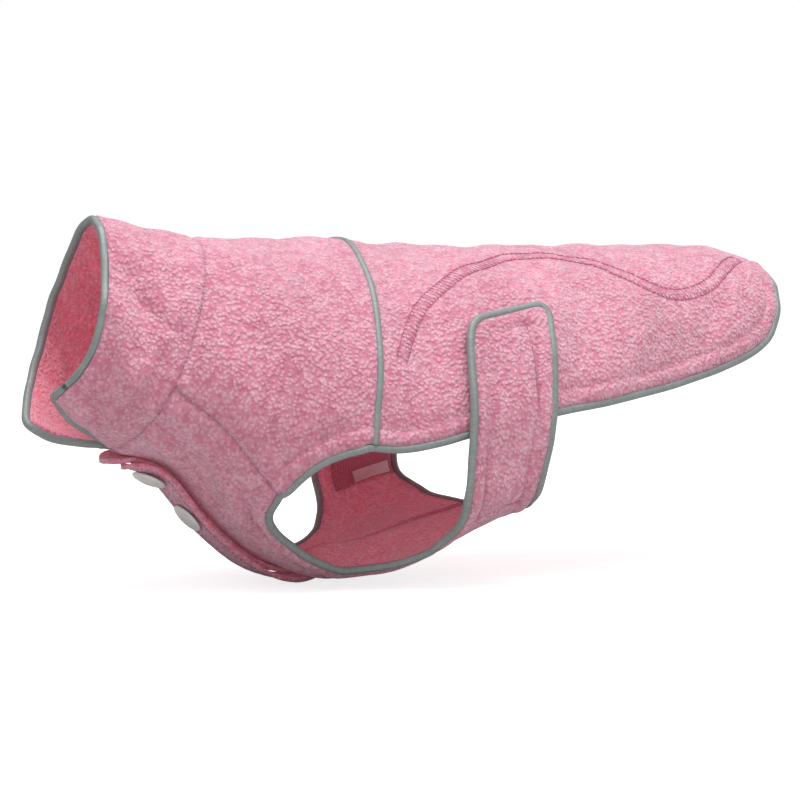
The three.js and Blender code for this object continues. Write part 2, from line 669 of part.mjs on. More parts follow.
// Laps of the front fastening: bands down the centre of the chest with a rounded upper end
function lapBand(lap) {
  const surface = clothSurface((_, at) => lap.lift + LOBE_DROOP * Math.max(0, LOBE_BACK - at), bodyPoint);
  const radius = (lap.high - lap.low) / 2;
  const centre = (lap.high + lap.low) / 2;
  const roundSteps = 4;
  const straightSteps = 9;
  const stations = [];
  for (let step = 1; step <= roundSteps; step += 1) {
    const angle = (step / roundSteps) * (Math.PI / 2);
    stations.push({ at: lap.from + radius * (1 - Math.cos(angle)), reach: Math.sin(angle) });
  }
  const start = lap.from + radius;
  for (let step = 1; step <= straightSteps; step += 1) {
    stations.push({ at: start + ((lap.to - start) * step) / straightSteps, reach: 1 });
  }
  const columns = 5;
  const rows = stations.map(({ at, reach }) => {
    const places = Array.from({ length: columns + 1 }, (_, column) => {
      const across = centre + radius * reach * ((2 * column) / columns - 1);
      return { at, turn: turnAcross(at, across) };
    });
    return spotsOn(surface, places, 0);
  });
  const sheet = new Sheet();
  sheet.addGrid(rows, true);
  return sheet.wall(FLEECE);
}
addPiece('front_underlap', lapBand(UNDERLAP), fleece('underlap_fleece'));
addPiece('front_overlap', lapBand(OVERLAP), fleece('overlap_fleece'));

// Snap caps: low domes with a rounded edge, flat underneath
for (const snap of SNAPS) {
  const radius = CAP_DIAMETER / 2;
  const profile = [
    [0, 0], [radius - 0.8, 0], [radius, 0.5], [radius - 0.3, 1.1], [radius * 0.8, CAP_HEIGHT * 0.72],
    [radius * 0.45, CAP_HEIGHT * 0.94], [0, CAP_HEIGHT],
  ].map(([across, up]) => new THREE.Vector2(across, up));
  const geometry = new THREE.LatheGeometry(profile, CAP_SEGMENTS);
  const seat = OVERLAP.lift + FLEECE / 2 + snap.rise;
  const surface = clothSurface(() => seat, bodyPoint);
  const turn = turnAcross(snap.at, snap.across);
  const mesh = new THREE.Mesh(geometry, whitePlastic());
  mesh.name = snap.name;
  mesh.position.copy(surface(snap.at, turn));
  mesh.quaternion.setFromUnitVectors(new THREE.Vector3(0, 1, 0), normalOf(surface, snap.at, turn));
  coat.add(mesh);
}

export default coat;
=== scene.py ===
"""A dog's winter coat in pebbled fleece, worn and filled out, with nobody in it.

Lengths in the tables are millimetres in the part's own frame: +X to the tail, +Y to the wearer's
right, +Z up. Meshes are written in metres. A place on the coat is a pair (at, turn): at runs along
the ridge of the back, and turn goes round from 0 on the ridge to 1 at the centre underneath, minus
on the near side and plus on the far side.
"""
from __future__ import annotations

import logging
from dataclasses import dataclass, field
from enum import Enum
from typing import Callable

import bpy
import numpy as np
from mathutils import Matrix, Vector

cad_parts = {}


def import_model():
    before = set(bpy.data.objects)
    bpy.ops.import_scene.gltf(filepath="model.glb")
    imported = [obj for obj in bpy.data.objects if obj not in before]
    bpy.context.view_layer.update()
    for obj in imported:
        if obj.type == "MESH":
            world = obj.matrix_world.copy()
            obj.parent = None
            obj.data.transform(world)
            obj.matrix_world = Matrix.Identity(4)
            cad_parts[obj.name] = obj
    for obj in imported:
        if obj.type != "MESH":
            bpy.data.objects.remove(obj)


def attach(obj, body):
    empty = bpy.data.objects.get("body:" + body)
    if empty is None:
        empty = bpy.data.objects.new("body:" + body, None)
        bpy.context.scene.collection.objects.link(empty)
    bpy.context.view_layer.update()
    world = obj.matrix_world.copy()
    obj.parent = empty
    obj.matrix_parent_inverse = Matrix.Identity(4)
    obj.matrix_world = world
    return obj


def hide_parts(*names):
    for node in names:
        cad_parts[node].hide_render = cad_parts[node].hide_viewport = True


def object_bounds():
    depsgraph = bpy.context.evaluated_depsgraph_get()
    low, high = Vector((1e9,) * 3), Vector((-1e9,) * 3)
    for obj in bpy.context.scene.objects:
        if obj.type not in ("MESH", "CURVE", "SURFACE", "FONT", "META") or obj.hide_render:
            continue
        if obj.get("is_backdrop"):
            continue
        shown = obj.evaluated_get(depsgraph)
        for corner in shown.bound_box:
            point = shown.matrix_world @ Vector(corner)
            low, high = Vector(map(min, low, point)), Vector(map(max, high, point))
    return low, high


LOG = logging.getLogger("dog_winter_coat")
Array = np.ndarray
Surface = Callable[[Array, Array], Array]
MM = 0.001

# Cloth and trims, as the solids have them
FLEECE = 2.2
HEM_BAND = 7.6
BOUND_INSET = 3.3
HALF_GIRTH = 230.0
COLLAR_HEIGHT = 58.0
SLIT_TURN = 0.973
PIPING_AT = 72.5
BELLY_REAR_AT = 144.5
STRAP_LIFT = 4.4
STRAP_RISE = (0.76, 0.56)
STRAP_FROM = (50.0, 98.0)
HOLLOW_REACH = 22.0
FLAP_SAG = 2.5
LAP_STEP = 3.0
LOBE_DROOP = 0.45
LOBE_BACK = 8.0
SEAM_TUCK = 0.05
CLOTH_STEP = 1.25

SECTION_COLUMNS = ("at", "top", "floor_x", "floor", "half", "widest", "upper", "lower", "hollow")
SECTIONS = (
    (-25.5, 6.6, -60.5, -86.9, 36, 0.56, 1.7, 1.7, 0),
    (0, 1.1, -39.5, -89.8, 43, 0.58, 1.8, 1.9, 0),
    (22.5, 0, -14.5, -100.3, 53, 0.6, 1.8, 2, 0),
    (46.5, 0.2, 12.5, -128.5, 64, 0.62, 1.8, 2.2, 0),
    (72.5, -0.2, 42.5, -148.6, 70, 0.62, 1.8, 2.5, 3),
    (92.5, -3, 66.5, -150.2, 71, 0.63, 1.8, 3.1, 11),
    (100, -3.2, 81, -147, 71, 0.63, 1.8, 3.9, 10),
    (108.5, -3.6, 96.5, -139.5, 71, 0.64, 1.8, 4, 6),
    (144.5, -4.3, 142.5, -123.2, 68, 0.66, 1.9, 4, 0),
    (179.5, -4.6, 179.5, -119.9, 62, 0.66, 1.9, 3, 0),
    (214.5, -4.7, 214.5, -113.9, 54, 0.66, 1.9, 3, 0),
    (244.5, -5, 244.5, -101.9, 47, 0.66, 1.9, 2.6, 0),
    (269.5, -6.4, 269.5, -88.9, 40, 0.66, 1.95, 2.4, 0),
    (294.5, -13.6, 294.5, -75.9, 31, 0.66, 2, 2.2, 0),
    (312.5, -26, 312.5, -67.9, 22, 0.66, 2, 2.2, 0),
)
RIM_COLUMNS = ("turn", "x", "half", "z")
RIM_TOP = (
    (0, -48.5, 0, 11),
    (0.12, -49.3, 9.5, 7.5),
    (0.24, -51, 18.5, -4),
    (0.36, -53.5, 25.5, -17),
    (0.48, -56.8, 30, -31),
    (0.6, -60.8, 30, -44.5),
)
NEAR_RIM = RIM_TOP + ((0.72, -65.6, 25, -55), (0.84, -70.2, 17.5, -62), (0.92, -70.8, 11, -65),
                      (0.973, -68.5, 5, -65.5))
FAR_RIM = RIM_TOP + ((0.72, -66, 25, -56.5), (0.84, -71.8, 17.5, -66.5), (0.92, -76, 10.5, -73.5),
                     (0.973, -78.2, 5, -77.5))

# Soft folds: from (at, turn) to (at, turn), width and height. The first ones are in the solids too.
FOLDS = (
    (-42, -0.3, -18, -0.52, 9, -2.6),
    (-50, -0.42, -26, -0.66, 8, 2),
    (-12, -0.34, -26, -0.7, 7, 1.6),
    (-30, 0.28, -12, 0.5, 9, -2.4),
    (-46, 0.46, -22, 0.68, 8, 1.8),
    (-10, 0.4, -24, 0.72, 7, 1.5),
    (6, -0.66, 44, -0.82, 6, 2.6),
    (4, -0.74, 34, -0.88, 6, -2.2),
    (22, -0.7, 52, -0.86, 5, -1.6),
    (8, 0.68, 42, 0.84, 6, 2.4),
    (6, 0.76, 36, 0.89, 6, -2),
    (26, -0.4, 50, -0.56, 14, -2.2),
    (18, -0.16, 44, -0.34, 12, 1.4),
    (24, 0.38, 52, 0.54, 14, -2),
    (16, 0.14, 40, 0.32, 12, 1.4),
    (84, -0.44, 100, -0.28, 8, -1.6),
    (82, 0.43, 98, 0.26, 8, -1.5),
    (160, -0.42, 178, -0.26, 10, -1.8),
    (162, 0.4, 182, 0.24, 10, -1.6),
    (182, -0.4, 214, -0.32, 11, 1.4),
    (186, 0.4, 220, 0.3, 11, 1.4),
    (232, -0.4, 266, -0.28, 10, -1.4),
    (228, 0.38, 262, 0.28, 10, -1.3),
    (68, -0.93, 104, -0.9, 6, 1.2),
    (64, 0.92, 100, 0.94, 6, 1.2),
)
CREASES = (
    (-52, -0.2, -30, -0.3, 5, 0.6),
    (-44, -0.58, -20, -0.78, 4.5, -0.9),
    (-34, -0.74, -12, -0.86, 4, 0.8),
    (-20, -0.2, -6, -0.42, 5, -0.7),
    (-50, 0.22, -28, 0.34, 5, 0.6),
    (-40, 0.6, -18, 0.78, 4.5, -0.8),
    (-30, 0.76, -10, 0.86, 4, 0.7),
    (-38, -0.36, -14, -0.42, 5, -1.3),
    (2, -0.58, 30, -0.74, 4.5, 1.4),
    (10, -0.66, 46, -0.84, 4, -1.5),
    (-4, -0.7, 22, -0.9, 4.5, 1.2),
    (36, -0.56, 50, -0.66, 5, -1.1),
    (4, -0.6, 24, -0.7, 3.5, -0.8),
    (14, -0.78, 40, -0.9, 4, 0.8),
    (30, -0.74, 56, -0.9, 3.5, -0.9),
    (-36, 0.38, -14, 0.45, 5, -1.2),
    (4, 0.6, 32, 0.75, 4.5, 1.3),
    (12, 0.68, 46, 0.85, 4, -1.4),
    (6, 0.62, 26, 0.72, 3.5, -0.8),
    (18, 0.8, 44, 0.9, 4, 0.8),
    (34, 0.76, 58, 0.9, 3.5, -0.8),
    (4, -0.34, 20, -0.5, 5, 0.6),
    (40, -0.2, 66, -0.3, 7, -0.6),
    (46, 0.22, 68, 0.3, 7, -0.6),
    (6, 0.36, 22, 0.5, 5, 0.6),
    (52, -0.5, 70, -0.42, 4, -0.7),
    (52, 0.5, 70, 0.42, 4, -0.7),
    (96, -0.14, 130, -0.06, 9, -0.5),
    (100, 0.12, 132, 0.05, 9, -0.5),
    (152, -0.36, 164, -0.2, 5, 0.7),
    (154, 0.36, 168, 0.2, 5, 0.7),
    (196, -0.44, 222, -0.3, 5, -0.7),
    (200, 0.43, 226, 0.3, 5, -0.7),
    (250, -0.42, 270, -0.26, 5, 0.6),
    (246, 0.42, 268, 0.26, 5, 0.6),
    (110, -0.72, 138, -0.6, 4, -0.5),
    (112, 0.72, 138, 0.6, 4, -0.5),
    (76, -0.86, 110, -0.82, 5, -0.7),
    (74, 0.86, 108, 0.83, 5, -0.6),
)

# Edges of the pattern pieces, as places (at, turn)
CHEST_SEAM = ((0, 0.585), (8, 0.617), (16, 0.64), (27, 0.667), (36, 0.683), (45.3, 0.695))
LEG_TOP = ((48.4, 0.705), (49.6, 0.66), (51.2, 0.62), (54.6, 0.572), (59.5, 0.533), (65.5, 0.508),
           (PIPING_AT, 0.49))
BACK_HEM = ((PIPING_AT, 0.492), (91, 0.48), (108.7, 0.481), (127, 0.484), (150, 0.483), (173, 0.476),
            (197, 0.469), (216, 0.468), (236, 0.471), (252, 0.477), (264, 0.48), (276, 0.474),
            (285.5, 0.452), (291.5, 0.41), (296, 0.35), (298.8, 0.28), (300.6, 0.2), (301.7, 0.12),
            (302.2, 0.04))
LEG_UNDER = ((48.4, 0.705), (47.9, 0.735), (48.7, 0.77), (50.4, 0.79), (54.5, 0.806), (59.5, 0.806),
             (64.6, 0.813), (71, 0.823), (78, 0.835), (85.5, 0.845), (92, 0.845), (97, 0.833),
             (100.5, 0.812), (103.5, 0.78))
STRAP_FRONT = ((103.5, 0.78), (106.2, 0.7), (107, 0.62), (106.4, 0.54), (107, 0.48), (107.5, 0.42),
               (107.9, 0.37), (108.6, 0.32), (109.8, 0.298), (112.2, 0.281), (116.5, 0.274))
STRAP_REAR = ((143.5, 0.76), (141.6, 0.7), (141.2, 0.62), (142.8, 0.54), (145.8, 0.48), (148, 0.42),
              (149.6, 0.37), (151.2, 0.32), (152.4, 0.294), (151.6, 0.272), (147.5, 0.263))
FLATLOCK = ((83, 0.33), (87, 0.29), (94, 0.24), (105.5, 0.20), (120, 0.16), (131.5, 0.14), (150, 0.11),
            (173, 0.11), (191.6, 0.14), (205, 0.18), (218, 0.23), (234, 0.26), (254, 0.24), (270, 0.17),
            (281, 0.11))


@dataclass(frozen=True)
class SmoothTable:
    """Rows of numbers read as smooth curves of their first column.

    Formula: cubic Hermite pieces, whose slope at a row is that of its two neighbours.
    """

    columns: tuple[str, ...]
    rows: tuple[tuple[float, ...], ...]

    def read(self, column: str, place: Array) -> Array:
        """Read one column at many places.

        Args:
            column: name of the column.
            place: values of the first column.

        Returns:
            The smooth value at each place.
        """
        rows = np.array(self.rows, float)
        keys, values = rows[:, 0], rows[:, self.columns.index(column)]
        gaps = np.diff(keys)
        rises = np.diff(values) / gaps
        inner = (rises[:-1] * gaps[1:] + rises[1:] * gaps[:-1]) / (gaps[:-1] + gaps[1:])
        slopes = np.concatenate([rises[:1], inner, rises[-1:]])
        low = np.clip(np.searchsorted(keys, place) - 1, 0, len(keys) - 2)
        gap = gaps[low]
        t = (place - keys[low]) / gap
        rest = 1 - t
        start = (1 + 2 * t) * rest**2 * values[low] + t * rest**2 * gap * slopes[low]
        end = t**2 * (3 - 2 * t) * values[low + 1] - t**2 * rest * gap * slopes[low + 1]
        return start + end


def smooth_step(value: Array) -> Array:
    """Ease from 0 to 1: three times the square minus twice the cube of the held value."""
    held = np.clip(value, 0, 1)
    return held * held * (3 - 2 * held)


def unit(vectors: Array) -> Array:
    """Scale each vector to length 1."""
    return vectors / np.maximum(np.linalg.norm(vectors, axis=-1, keepdims=True), 1e-9)


def wrap_turn(turn: Array) -> Array:
    """Bring turns past the centre underneath back in from the other side."""
    return np.where(turn > 1, turn - 2, np.where(turn < -1, turn + 2, turn))


@dataclass(frozen=True)
class Figure:
    """The general figure that the coat is cut for, with its collar, folds and small unevenness."""

    sections: SmoothTable = SmoothTable(SECTION_COLUMNS, SECTIONS)
    near_rim: SmoothTable = SmoothTable(RIM_COLUMNS, NEAR_RIM)
    far_rim: SmoothTable = SmoothTable(RIM_COLUMNS, FAR_RIM)
    waver: float = 0.16
    seed: int = 11

    def body(self, at: Array, turn: Array) -> Array:
        """Place points on the body.

        Formula: each half of a section is a superellipse between its ridge, widest and floor levels,
        and the section leans by the share of its depth.

        Args:
            at: places along the ridge.
            turn: places round the section.

        Returns:
            Points, one for each place.
        """
        size = np.abs(turn)
        is_upper = size < 0.5
        read = self.sections.read
        power = 2 / np.where(is_upper, read("upper", at), read("lower", at))
        angle = np.pi * size
        level = np.abs(np.cos(angle)) ** power
        across = read("half", at) * np.maximum(0, np.sin(angle)) ** power
        widest = read("widest", at)
        depth = np.where(is_upper, widest * (1 - level), widest + (1 - widest) * level)
        hollow = np.where(is_upper, 0, read("hollow", at) * np.exp(-((across / HOLLOW_REACH) ** 2)))
        top = read("top", at)
        x = at + (read("floor_x", at) - at) * depth
        y = np.where(turn < 0, -1, 1) * across
        z = top + (read("floor", at) - top) * depth + hollow
        return np.stack([x, y, z], axis=-1)

    def collar(self, at: Array, turn: Array) -> Array:
        """Place points on the collar: straight from the neck seam to the rim, sagging at the slit."""
        way = np.where(turn < 0, -1.0, 1.0)
        size = np.minimum(SLIT_TURN, np.abs(turn))
        seam = self.body(np.zeros_like(at), way * size)
        rim = [np.where(turn < 0, self.near_rim.read(c, size), self.far_rim.read(c, size))
               for c in ("x", "half", "z")]
        edge = np.stack([rim[0], way * rim[1], rim[2]], axis=-1)
        share = -at / COLLAR_HEIGHT
        point = seam + (edge - seam) * share[..., None]
        sag = FLAP_SAG * np.sin(np.pi * np.clip(share, 0, 1)) * (size / SLIT_TURN) ** 6
        point[..., 2] -= sag
        return point

    def base(self, at: Array, turn: Array) -> Array:
        """Place points on the collar in front of the neck seam and on the body behind it."""
        at, turn = np.broadcast_arrays(np.asarray(at, float), np.asarray(turn, float))
        return np.where((at < 0)[..., None], self.collar(np.minimum(at, 0), turn), self.body(at, turn))

    @staticmethod
    def fold_height(at: Array, turn: Array) -> Array:
        """Height of the folds: for each, a bell across its line that fades past its two ends."""
        height = np.zeros(np.broadcast(at, turn).shape)
        for from_at, from_turn, to_at, to_turn, width, tall in FOLDS + CREASES:
            run_at, run_turn = to_at - from_at, (to_turn - from_turn) * HALF_GIRTH
            length = np.hypot(run_at, run_turn)
            off_at, off_turn = at - from_at, (turn - from_turn) * HALF_GIRTH
            along = (off_at * run_at + off_turn * run_turn) / length
            aside = (off_at * run_turn - off_turn * run_at) / length
            past = np.maximum(0, np.maximum(-along, along - length))
            height = height + tall * np.exp(-((aside / width) ** 2) - (past / width) ** 2)
        return height

    def unevenness(self, at: Array, turn: Array) -> Array:
        """Slight waves of the cloth: a sum of long sine waves in seeded directions."""
        dice = np.random.default_rng(self.seed)
        total = np.zeros(np.broadcast(at, turn).shape)
        for _ in range(7):
            heading, wave, phase = dice.uniform(0, np.pi), dice.uniform(20, 46), dice.uniform(0, 6.28)
            along = at * np.cos(heading) + np.abs(turn) * HALF_GIRTH * np.sin(heading)
            total = total + self.waver * np.sin(2 * np.pi * along / wave + phase)
        return total

    @staticmethod
    def normal(surface: Surface, at: Array, turn: Array) -> Array:
        """Outward normal of a surface: the cross product of its two slopes, from points either side."""
        along = surface(at + 1, turn) - surface(at - 1, turn)
        round_ = surface(at, wrap_turn(turn + 0.004)) - surface(at, wrap_turn(turn - 0.004))
        return unit(np.cross(along, round_))

    def cloth(self, lift: Surface | None = None, base: Surface | None = None) -> Surface:
        """Make the middle surface of a cloth piece.

        Args:
            lift: height of the piece over the figure, as a function of place.
            base: the surface that it lies on.

        Returns:
            A surface: the base moved along its normal by the folds, the unevenness and the lift.
        """
        ground = base or self.base

        def surface(at: Array, turn: Array) -> Array:
            at, turn = np.broadcast_arrays(np.asarray(at, float), np.asarray(turn, float))
            height = self.fold_height(at, turn) + self.unevenness(at, turn)
            if lift is not None:
                height = height + lift(at, turn)
            return ground(at, turn) + self.normal(ground, at, turn) * height[..., None]

        return surface


FIGURE = Figure()


def strap_lift(at: Array, turn: Array) -> Array:
    """Height of the straps over the figure.

    Formula: they rise smoothly with the turn to lie outside the back panel, and not in front of the
    leg openings, where the chest meets the yoke in a seam.
    """
    risen = smooth_step((STRAP_RISE[0] - np.abs(turn)) / (STRAP_RISE[0] - STRAP_RISE[1]))
    return STRAP_LIFT * risen * smooth_step((at - STRAP_FROM[0]) / (STRAP_FROM[1] - STRAP_FROM[0]))


ON_FIGURE = FIGURE.cloth()
ON_STRAP = FIGURE.cloth(strap_lift)


def curve_through(points: Array, steps: int = 40) -> Array:
    """Run a smooth curve through points.

    Formula: centripetal Catmull-Rom, with the ends extended by mirroring.

    Args:
        points: the points, as rows.
        steps: samples for each gap.

    Returns:
        The sampled curve.
    """
    whole = np.vstack([2 * points[0] - points[1], points, 2 * points[-1] - points[-2]])
    x0, x1, x2, x3 = whole[:-3], whole[1:-2], whole[2:-1], whole[3:]
    d0, d1, d2 = (np.sqrt(np.linalg.norm(b - a, axis=1))[:, None]
                  for a, b in ((x0, x1), (x1, x2), (x2, x3)))
    m1 = ((x1 - x0) / d0 - (x2 - x0) / (d0 + d1) + (x2 - x1) / d1) * d1
    m2 = ((x2 - x1) / d1 - (x3 - x1) / (d1 + d2) + (x3 - x2) / d2) * d1
    t = (np.arange(steps) / steps)[None, :, None]
    a, b, c, d = (v[:, None] for v in (x1, m1, -3 * x1 + 3 * x2 - 2 * m1 - m2,
                                       2 * x1 - 2 * x2 + m1 + m2))
    samples = (a + b * t + c * t**2 + d * t**3).reshape(-1, points.shape[1])
    return np.vstack([samples, points[-1]])


def resample(line: Array, count: int) -> Array:
    """Spread count + 1 points evenly along a line by its length."""
    length = np.concatenate([[0], np.cumsum(np.linalg.norm(np.diff(line, axis=0), axis=1))])
    wanted = np.linspace(0, length[-1], count + 1)
    return np.stack([np.interp(wanted, length, line[:, k]) for k in range(line.shape[1])], axis=1)


@dataclass(frozen=True)
class PatternEdge:
    """One edge of a pattern piece on one side of the coat."""

    rows: tuple[tuple[float, float], ...]
    side: int
    surface: Surface = ON_FIGURE

    def places(self, count: int, inset: float = 0.0, way: int = 1, start: float = 0.0) -> Array:
        """Sample the edge, moved into the cloth.

        Formula: the move is at right angles to the edge on the surface, and is turned into at and
        turn with the surface's two slopes.

        Args:
            count: number of steps.
            inset: distance into the cloth.
            way: +1 or -1, the side of the edge where the cloth is.
            start: share of the edge that is left out at its start.

        Returns:
            Places, as rows of (at, turn).
        """
        flat = np.array([(at, self.side * turn * HALF_GIRTH) for at, turn in self.rows], float)
        line = resample(curve_through(flat), 1200)
        share = np.linspace(start, 1, count + 1) * 1200
        here, ahead, behind = (
            np.stack([np.interp(np.clip(share + step, 0, 1200), np.arange(1201), line[:, 0]),
                      np.interp(np.clip(share + step, 0, 1200), np.arange(1201), line[:, 1]) / HALF_GIRTH],
                     axis=1) for step in (0, 5, -5))
        if inset == 0:
            return here
        surface = self.surface
        run = surface(*ahead.T) - surface(*behind.T)
        move = unit(np.cross(FIGURE.normal(surface, *here.T), run)) * way * inset
        at, turn = here.T
        by_at = (surface(at + 1, turn) - surface(at - 1, turn)) / 2
        by_turn = (surface(at, wrap_turn(turn + 0.004)) - surface(at, wrap_turn(turn - 0.004))) / 0.008
        aa, tt, mixed = (np.sum(p * q, axis=1) for p, q in ((by_at, by_at), (by_turn, by_turn),
                                                            (by_at, by_turn)))
        ma, mt = np.sum(move * by_at, axis=1), np.sum(move * by_turn, axis=1)
        spread = aa * tt - mixed**2
        return np.stack([at + (ma * tt - mt * mixed) / spread, turn + (mt * aa - ma * mixed) / spread],
                        axis=1)


class Relief(Enum):
    """Kinds of line that shape the cloth beside them."""

    HEM_BAND = "hem_band"
    SEAM = "seam"
    STITCH = "stitch"
    FLATLOCK = "flatlock"
    ROLLED_RIM = "rolled_rim"

    def shape(self, distance: Array) -> tuple[Array, Array]:
        """Height, and shade painted into the ditch, at a distance from the line.

        Formula: bells and half waves of the distance, in millimetres.

        Args:
            distance: distance from the line.

        Returns:
            The height, and a mask from 0 to 1 of painted shade, which is 1 down in the ditch.
        """
        def bell(centre: float, width: float) -> Array:
            return np.exp(-(((distance - centre) / width) ** 2))

        # The second value is painted shade in the ditch beside the line; the rolled rim has none.
        if self is Relief.HEM_BAND:
            rise = np.sin(np.minimum(1, distance / HEM_BAND) * np.pi) * 0.85
            return rise - 0.7 * bell(HEM_BAND, 1.5), 0.55 * bell(HEM_BAND, 0.8)
        if self is Relief.SEAM:
            return -0.75 * bell(0, 1.6) + 0.3 * bell(3.4, 1.8), 0.7 * bell(0, 0.7)
        if self is Relief.STITCH:
            return -0.6 * bell(0, 1.4), 0.5 * bell(0, 0.8)
        if self is Relief.FLATLOCK:
            return 0.3 * bell(0, 2.2) - 0.3 * bell(3.1, 1.1), 0.2 * bell(3.1, 0.6)
        return 0.35 * bell(0, 4), np.zeros_like(distance)


def distance_to(points: Array, line: Array) -> Array:
    """Distance of each point from the nearest sample of a line."""
    nearest = np.empty(len(points))
    for start in range(0, len(points), 6000):
        part = points[start:start + 6000]
        square = (part**2).sum(1)[:, None] + (line**2).sum(1)[None] - 2 * part @ line.T
        nearest[start:start + 6000] = np.sqrt(np.maximum(square.min(1), 0))
    return nearest


def lumps(points: Array, size: float, seed: int) -> Array:
    """Rounded lumps of the nap.

    Formula: seeded heights at the corners of a lattice, blended with eased weights.

    Args:
        points: where to read it.
        size: lattice size.
        seed: seed of the heights.

    Returns:
        Values from -0.5 to 0.5.
    """
    cell = points / size
    low = np.floor(cell)
    t = smooth_step(cell - low)
    total = np.zeros(len(points))
    for corner in np.array([(x, y, z) for x in (0, 1) for y in (0, 1) for z in (0, 1)]):
        key = (low + corner) @ np.array([12.9898, 78.233, 37.719]) + seed * 4.137
        value = np.mod(np.sin(key) * 43758.5453, 1)
        total += value * np.prod(np.where(corner > 0, t, 1 - t), axis=1)
    return total - 0.5


@dataclass
class MeshParts:
    """Points in millimetres, four-sided faces, caps, and what the finish reads at each point."""

    points: Array
    quads: Array
    uv: Array
    values: dict[str, Array] = field(default_factory=dict)
    caps: list[list[int]] = field(default_factory=list)

    def to_object(self, name: str, material: bpy.types.Material) -> bpy.types.Object:
        """Write a smooth mesh object in metres and link it to the scene.

        Args:
            name: name of the piece.
            material: its finish.

        Returns:
            The new object, at the origin.
        """
        mesh = bpy.data.meshes.new(name)
        mesh.from_pydata((self.points * MM).tolist(), [], self.quads.tolist() + self.caps)
        mesh.polygons.foreach_set("use_smooth", np.ones(len(mesh.polygons), bool))
        corner = np.empty(len(mesh.loops), np.int32)
        mesh.loops.foreach_get("vertex_index", corner)
        layer = mesh.uv_layers.new(name="cloth")
        layer.data.foreach_set("uv", self.uv[corner].astype(np.float32).ravel())
        for key, value in self.values.items():
            mesh.attributes.new(key, "FLOAT", "POINT").data.foreach_set("value", value.astype(np.float32))
        mesh.materials.append(material)
        mesh.update()
        piece = bpy.data.objects.new(name, mesh)
        bpy.context.scene.collection.objects.link(piece)
        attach(piece, "root")
        LOG.info("%s: %d faces", name, len(mesh.polygons))
        return piece


def join_parts(parts: list[MeshParts]) -> MeshParts:
    """Put several sets of points and faces into one."""
    start = np.cumsum([0] + [len(p.points) for p in parts[:-1]])
    caps = [[index + int(s) for index in cap] for p, s in zip(parts, start) for cap in p.caps]
    return MeshParts(np.vstack([p.points for p in parts]),
                     np.vstack([p.quads + s for p, s in zip(parts, start)]),
                     np.vstack([p.uv for p in parts]), {}, caps)


def grid_faces(ids: Array) -> Array:
    """Four-sided faces between the neighbours of a grid of point numbers."""
    corners = [ids[:-1, :-1], ids[1:, :-1], ids[1:, 1:], ids[:-1, 1:]]
    return np.stack(corners, axis=-1).reshape(-1, 4)


def face_towards(points: Array, quads: Array, normals: Array) -> Array:
    """Turn the faces round as a whole if they look away from the points' normals."""
    corner = points[quads]
    across = np.cross(corner[:, 2] - corner[:, 0], corner[:, 3] - corner[:, 1])
    return quads if np.sum(across * normals[quads].mean(1)) >= 0 else quads[:, ::-1]


def sweep(path: Array, normals: Array, profile: Array) -> MeshParts:
    """Carry a closed profile along a path.

    Formula: each ring is the profile's first number times the direction across the path plus its
    second number times the cloth's normal, round the path's point.

    Args:
        path: points of the path.
        normals: the cloth's normal at each.
        profile: the closed profile, as rows of (across, out).

    Returns:
        The closed strip.
    """
    run = unit(np.gradient(path, axis=0))
    across = unit(np.cross(run, normals))
    out = np.cross(across, run)
    rings = (path[:, None] + across[:, None] * profile[None, :, :1] + out[:, None] * profile[None, :, 1:])
    count, sides = rings.shape[:2]
    ids = np.arange(count * sides).reshape(count, sides)
    closed = np.concatenate([ids, ids[:, :1]], axis=1)
    points = rings.reshape(-1, 3)
    outward = (rings - rings.mean(1, keepdims=True)).reshape(-1, 3)
    plain = grid_faces(closed)
    quads = face_towards(points, plain, outward)
    turned = not np.array_equal(plain, quads)
    first, last = ids[0].tolist(), ids[-1].tolist()
    length = np.concatenate([[0], np.cumsum(np.linalg.norm(np.diff(path, axis=0), axis=1))])
    uv = np.stack(np.meshgrid(length, np.arange(sides) / sides, indexing="ij"), axis=-1).reshape(-1, 2)
    caps = [first[::-1], last] if turned else [first, last[::-1]]
    return MeshParts(points, quads, uv, {}, caps)


def soften(path: Array, passes: int) -> Array:
    """Round the corners of a path by averaging each point with its neighbours, ends kept."""
    for _ in range(passes):
        path = np.vstack([path[:1], (path[:-2] + 2 * path[1:-1] + path[2:]) / 4, path[-1:]])
    return path


def oval(width: float, thickness: float, sides: int, power: float = 2.0) -> Array:
    """Closed superellipse profile, as rows of (across, out)."""
    angle = 2 * np.pi * np.arange(sides) / sides
    cos, sin = np.cos(angle), np.sin(angle)
    return np.stack([np.sign(cos) * np.abs(cos) ** (2 / power) * width / 2,
                     np.sign(sin) * np.abs(sin) ** (2 / power) * thickness / 2], axis=1)


class NodeBuilder:
    """Short way to add nodes and links to a node tree."""

    def __init__(self, tree: bpy.types.NodeTree) -> None:
        """Keep the tree."""
        self.tree = tree

    def add(self, kind: str, settings: dict | None = None, **inputs: object) -> bpy.types.Node:
        """Add a node.

        Args:
            kind: Blender's node type.
            settings: properties of the node.
            inputs: values or output sockets for the inputs, by name with _ for a space.

        Returns:
            The node.
        """
        node = self.tree.nodes.new(kind)
        for key, value in (settings or {}).items():
            setattr(node, key, value)
        for key, value in inputs.items():
            name = key.replace("_", " ")
            socket = node.inputs[int(name[1:])] if name[0] == "i" and name[1:].isdigit() else node.inputs[name]
            if isinstance(value, bpy.types.NodeSocket):
                self.tree.links.new(value, socket)
            else:
                socket.default_value = value
        return node


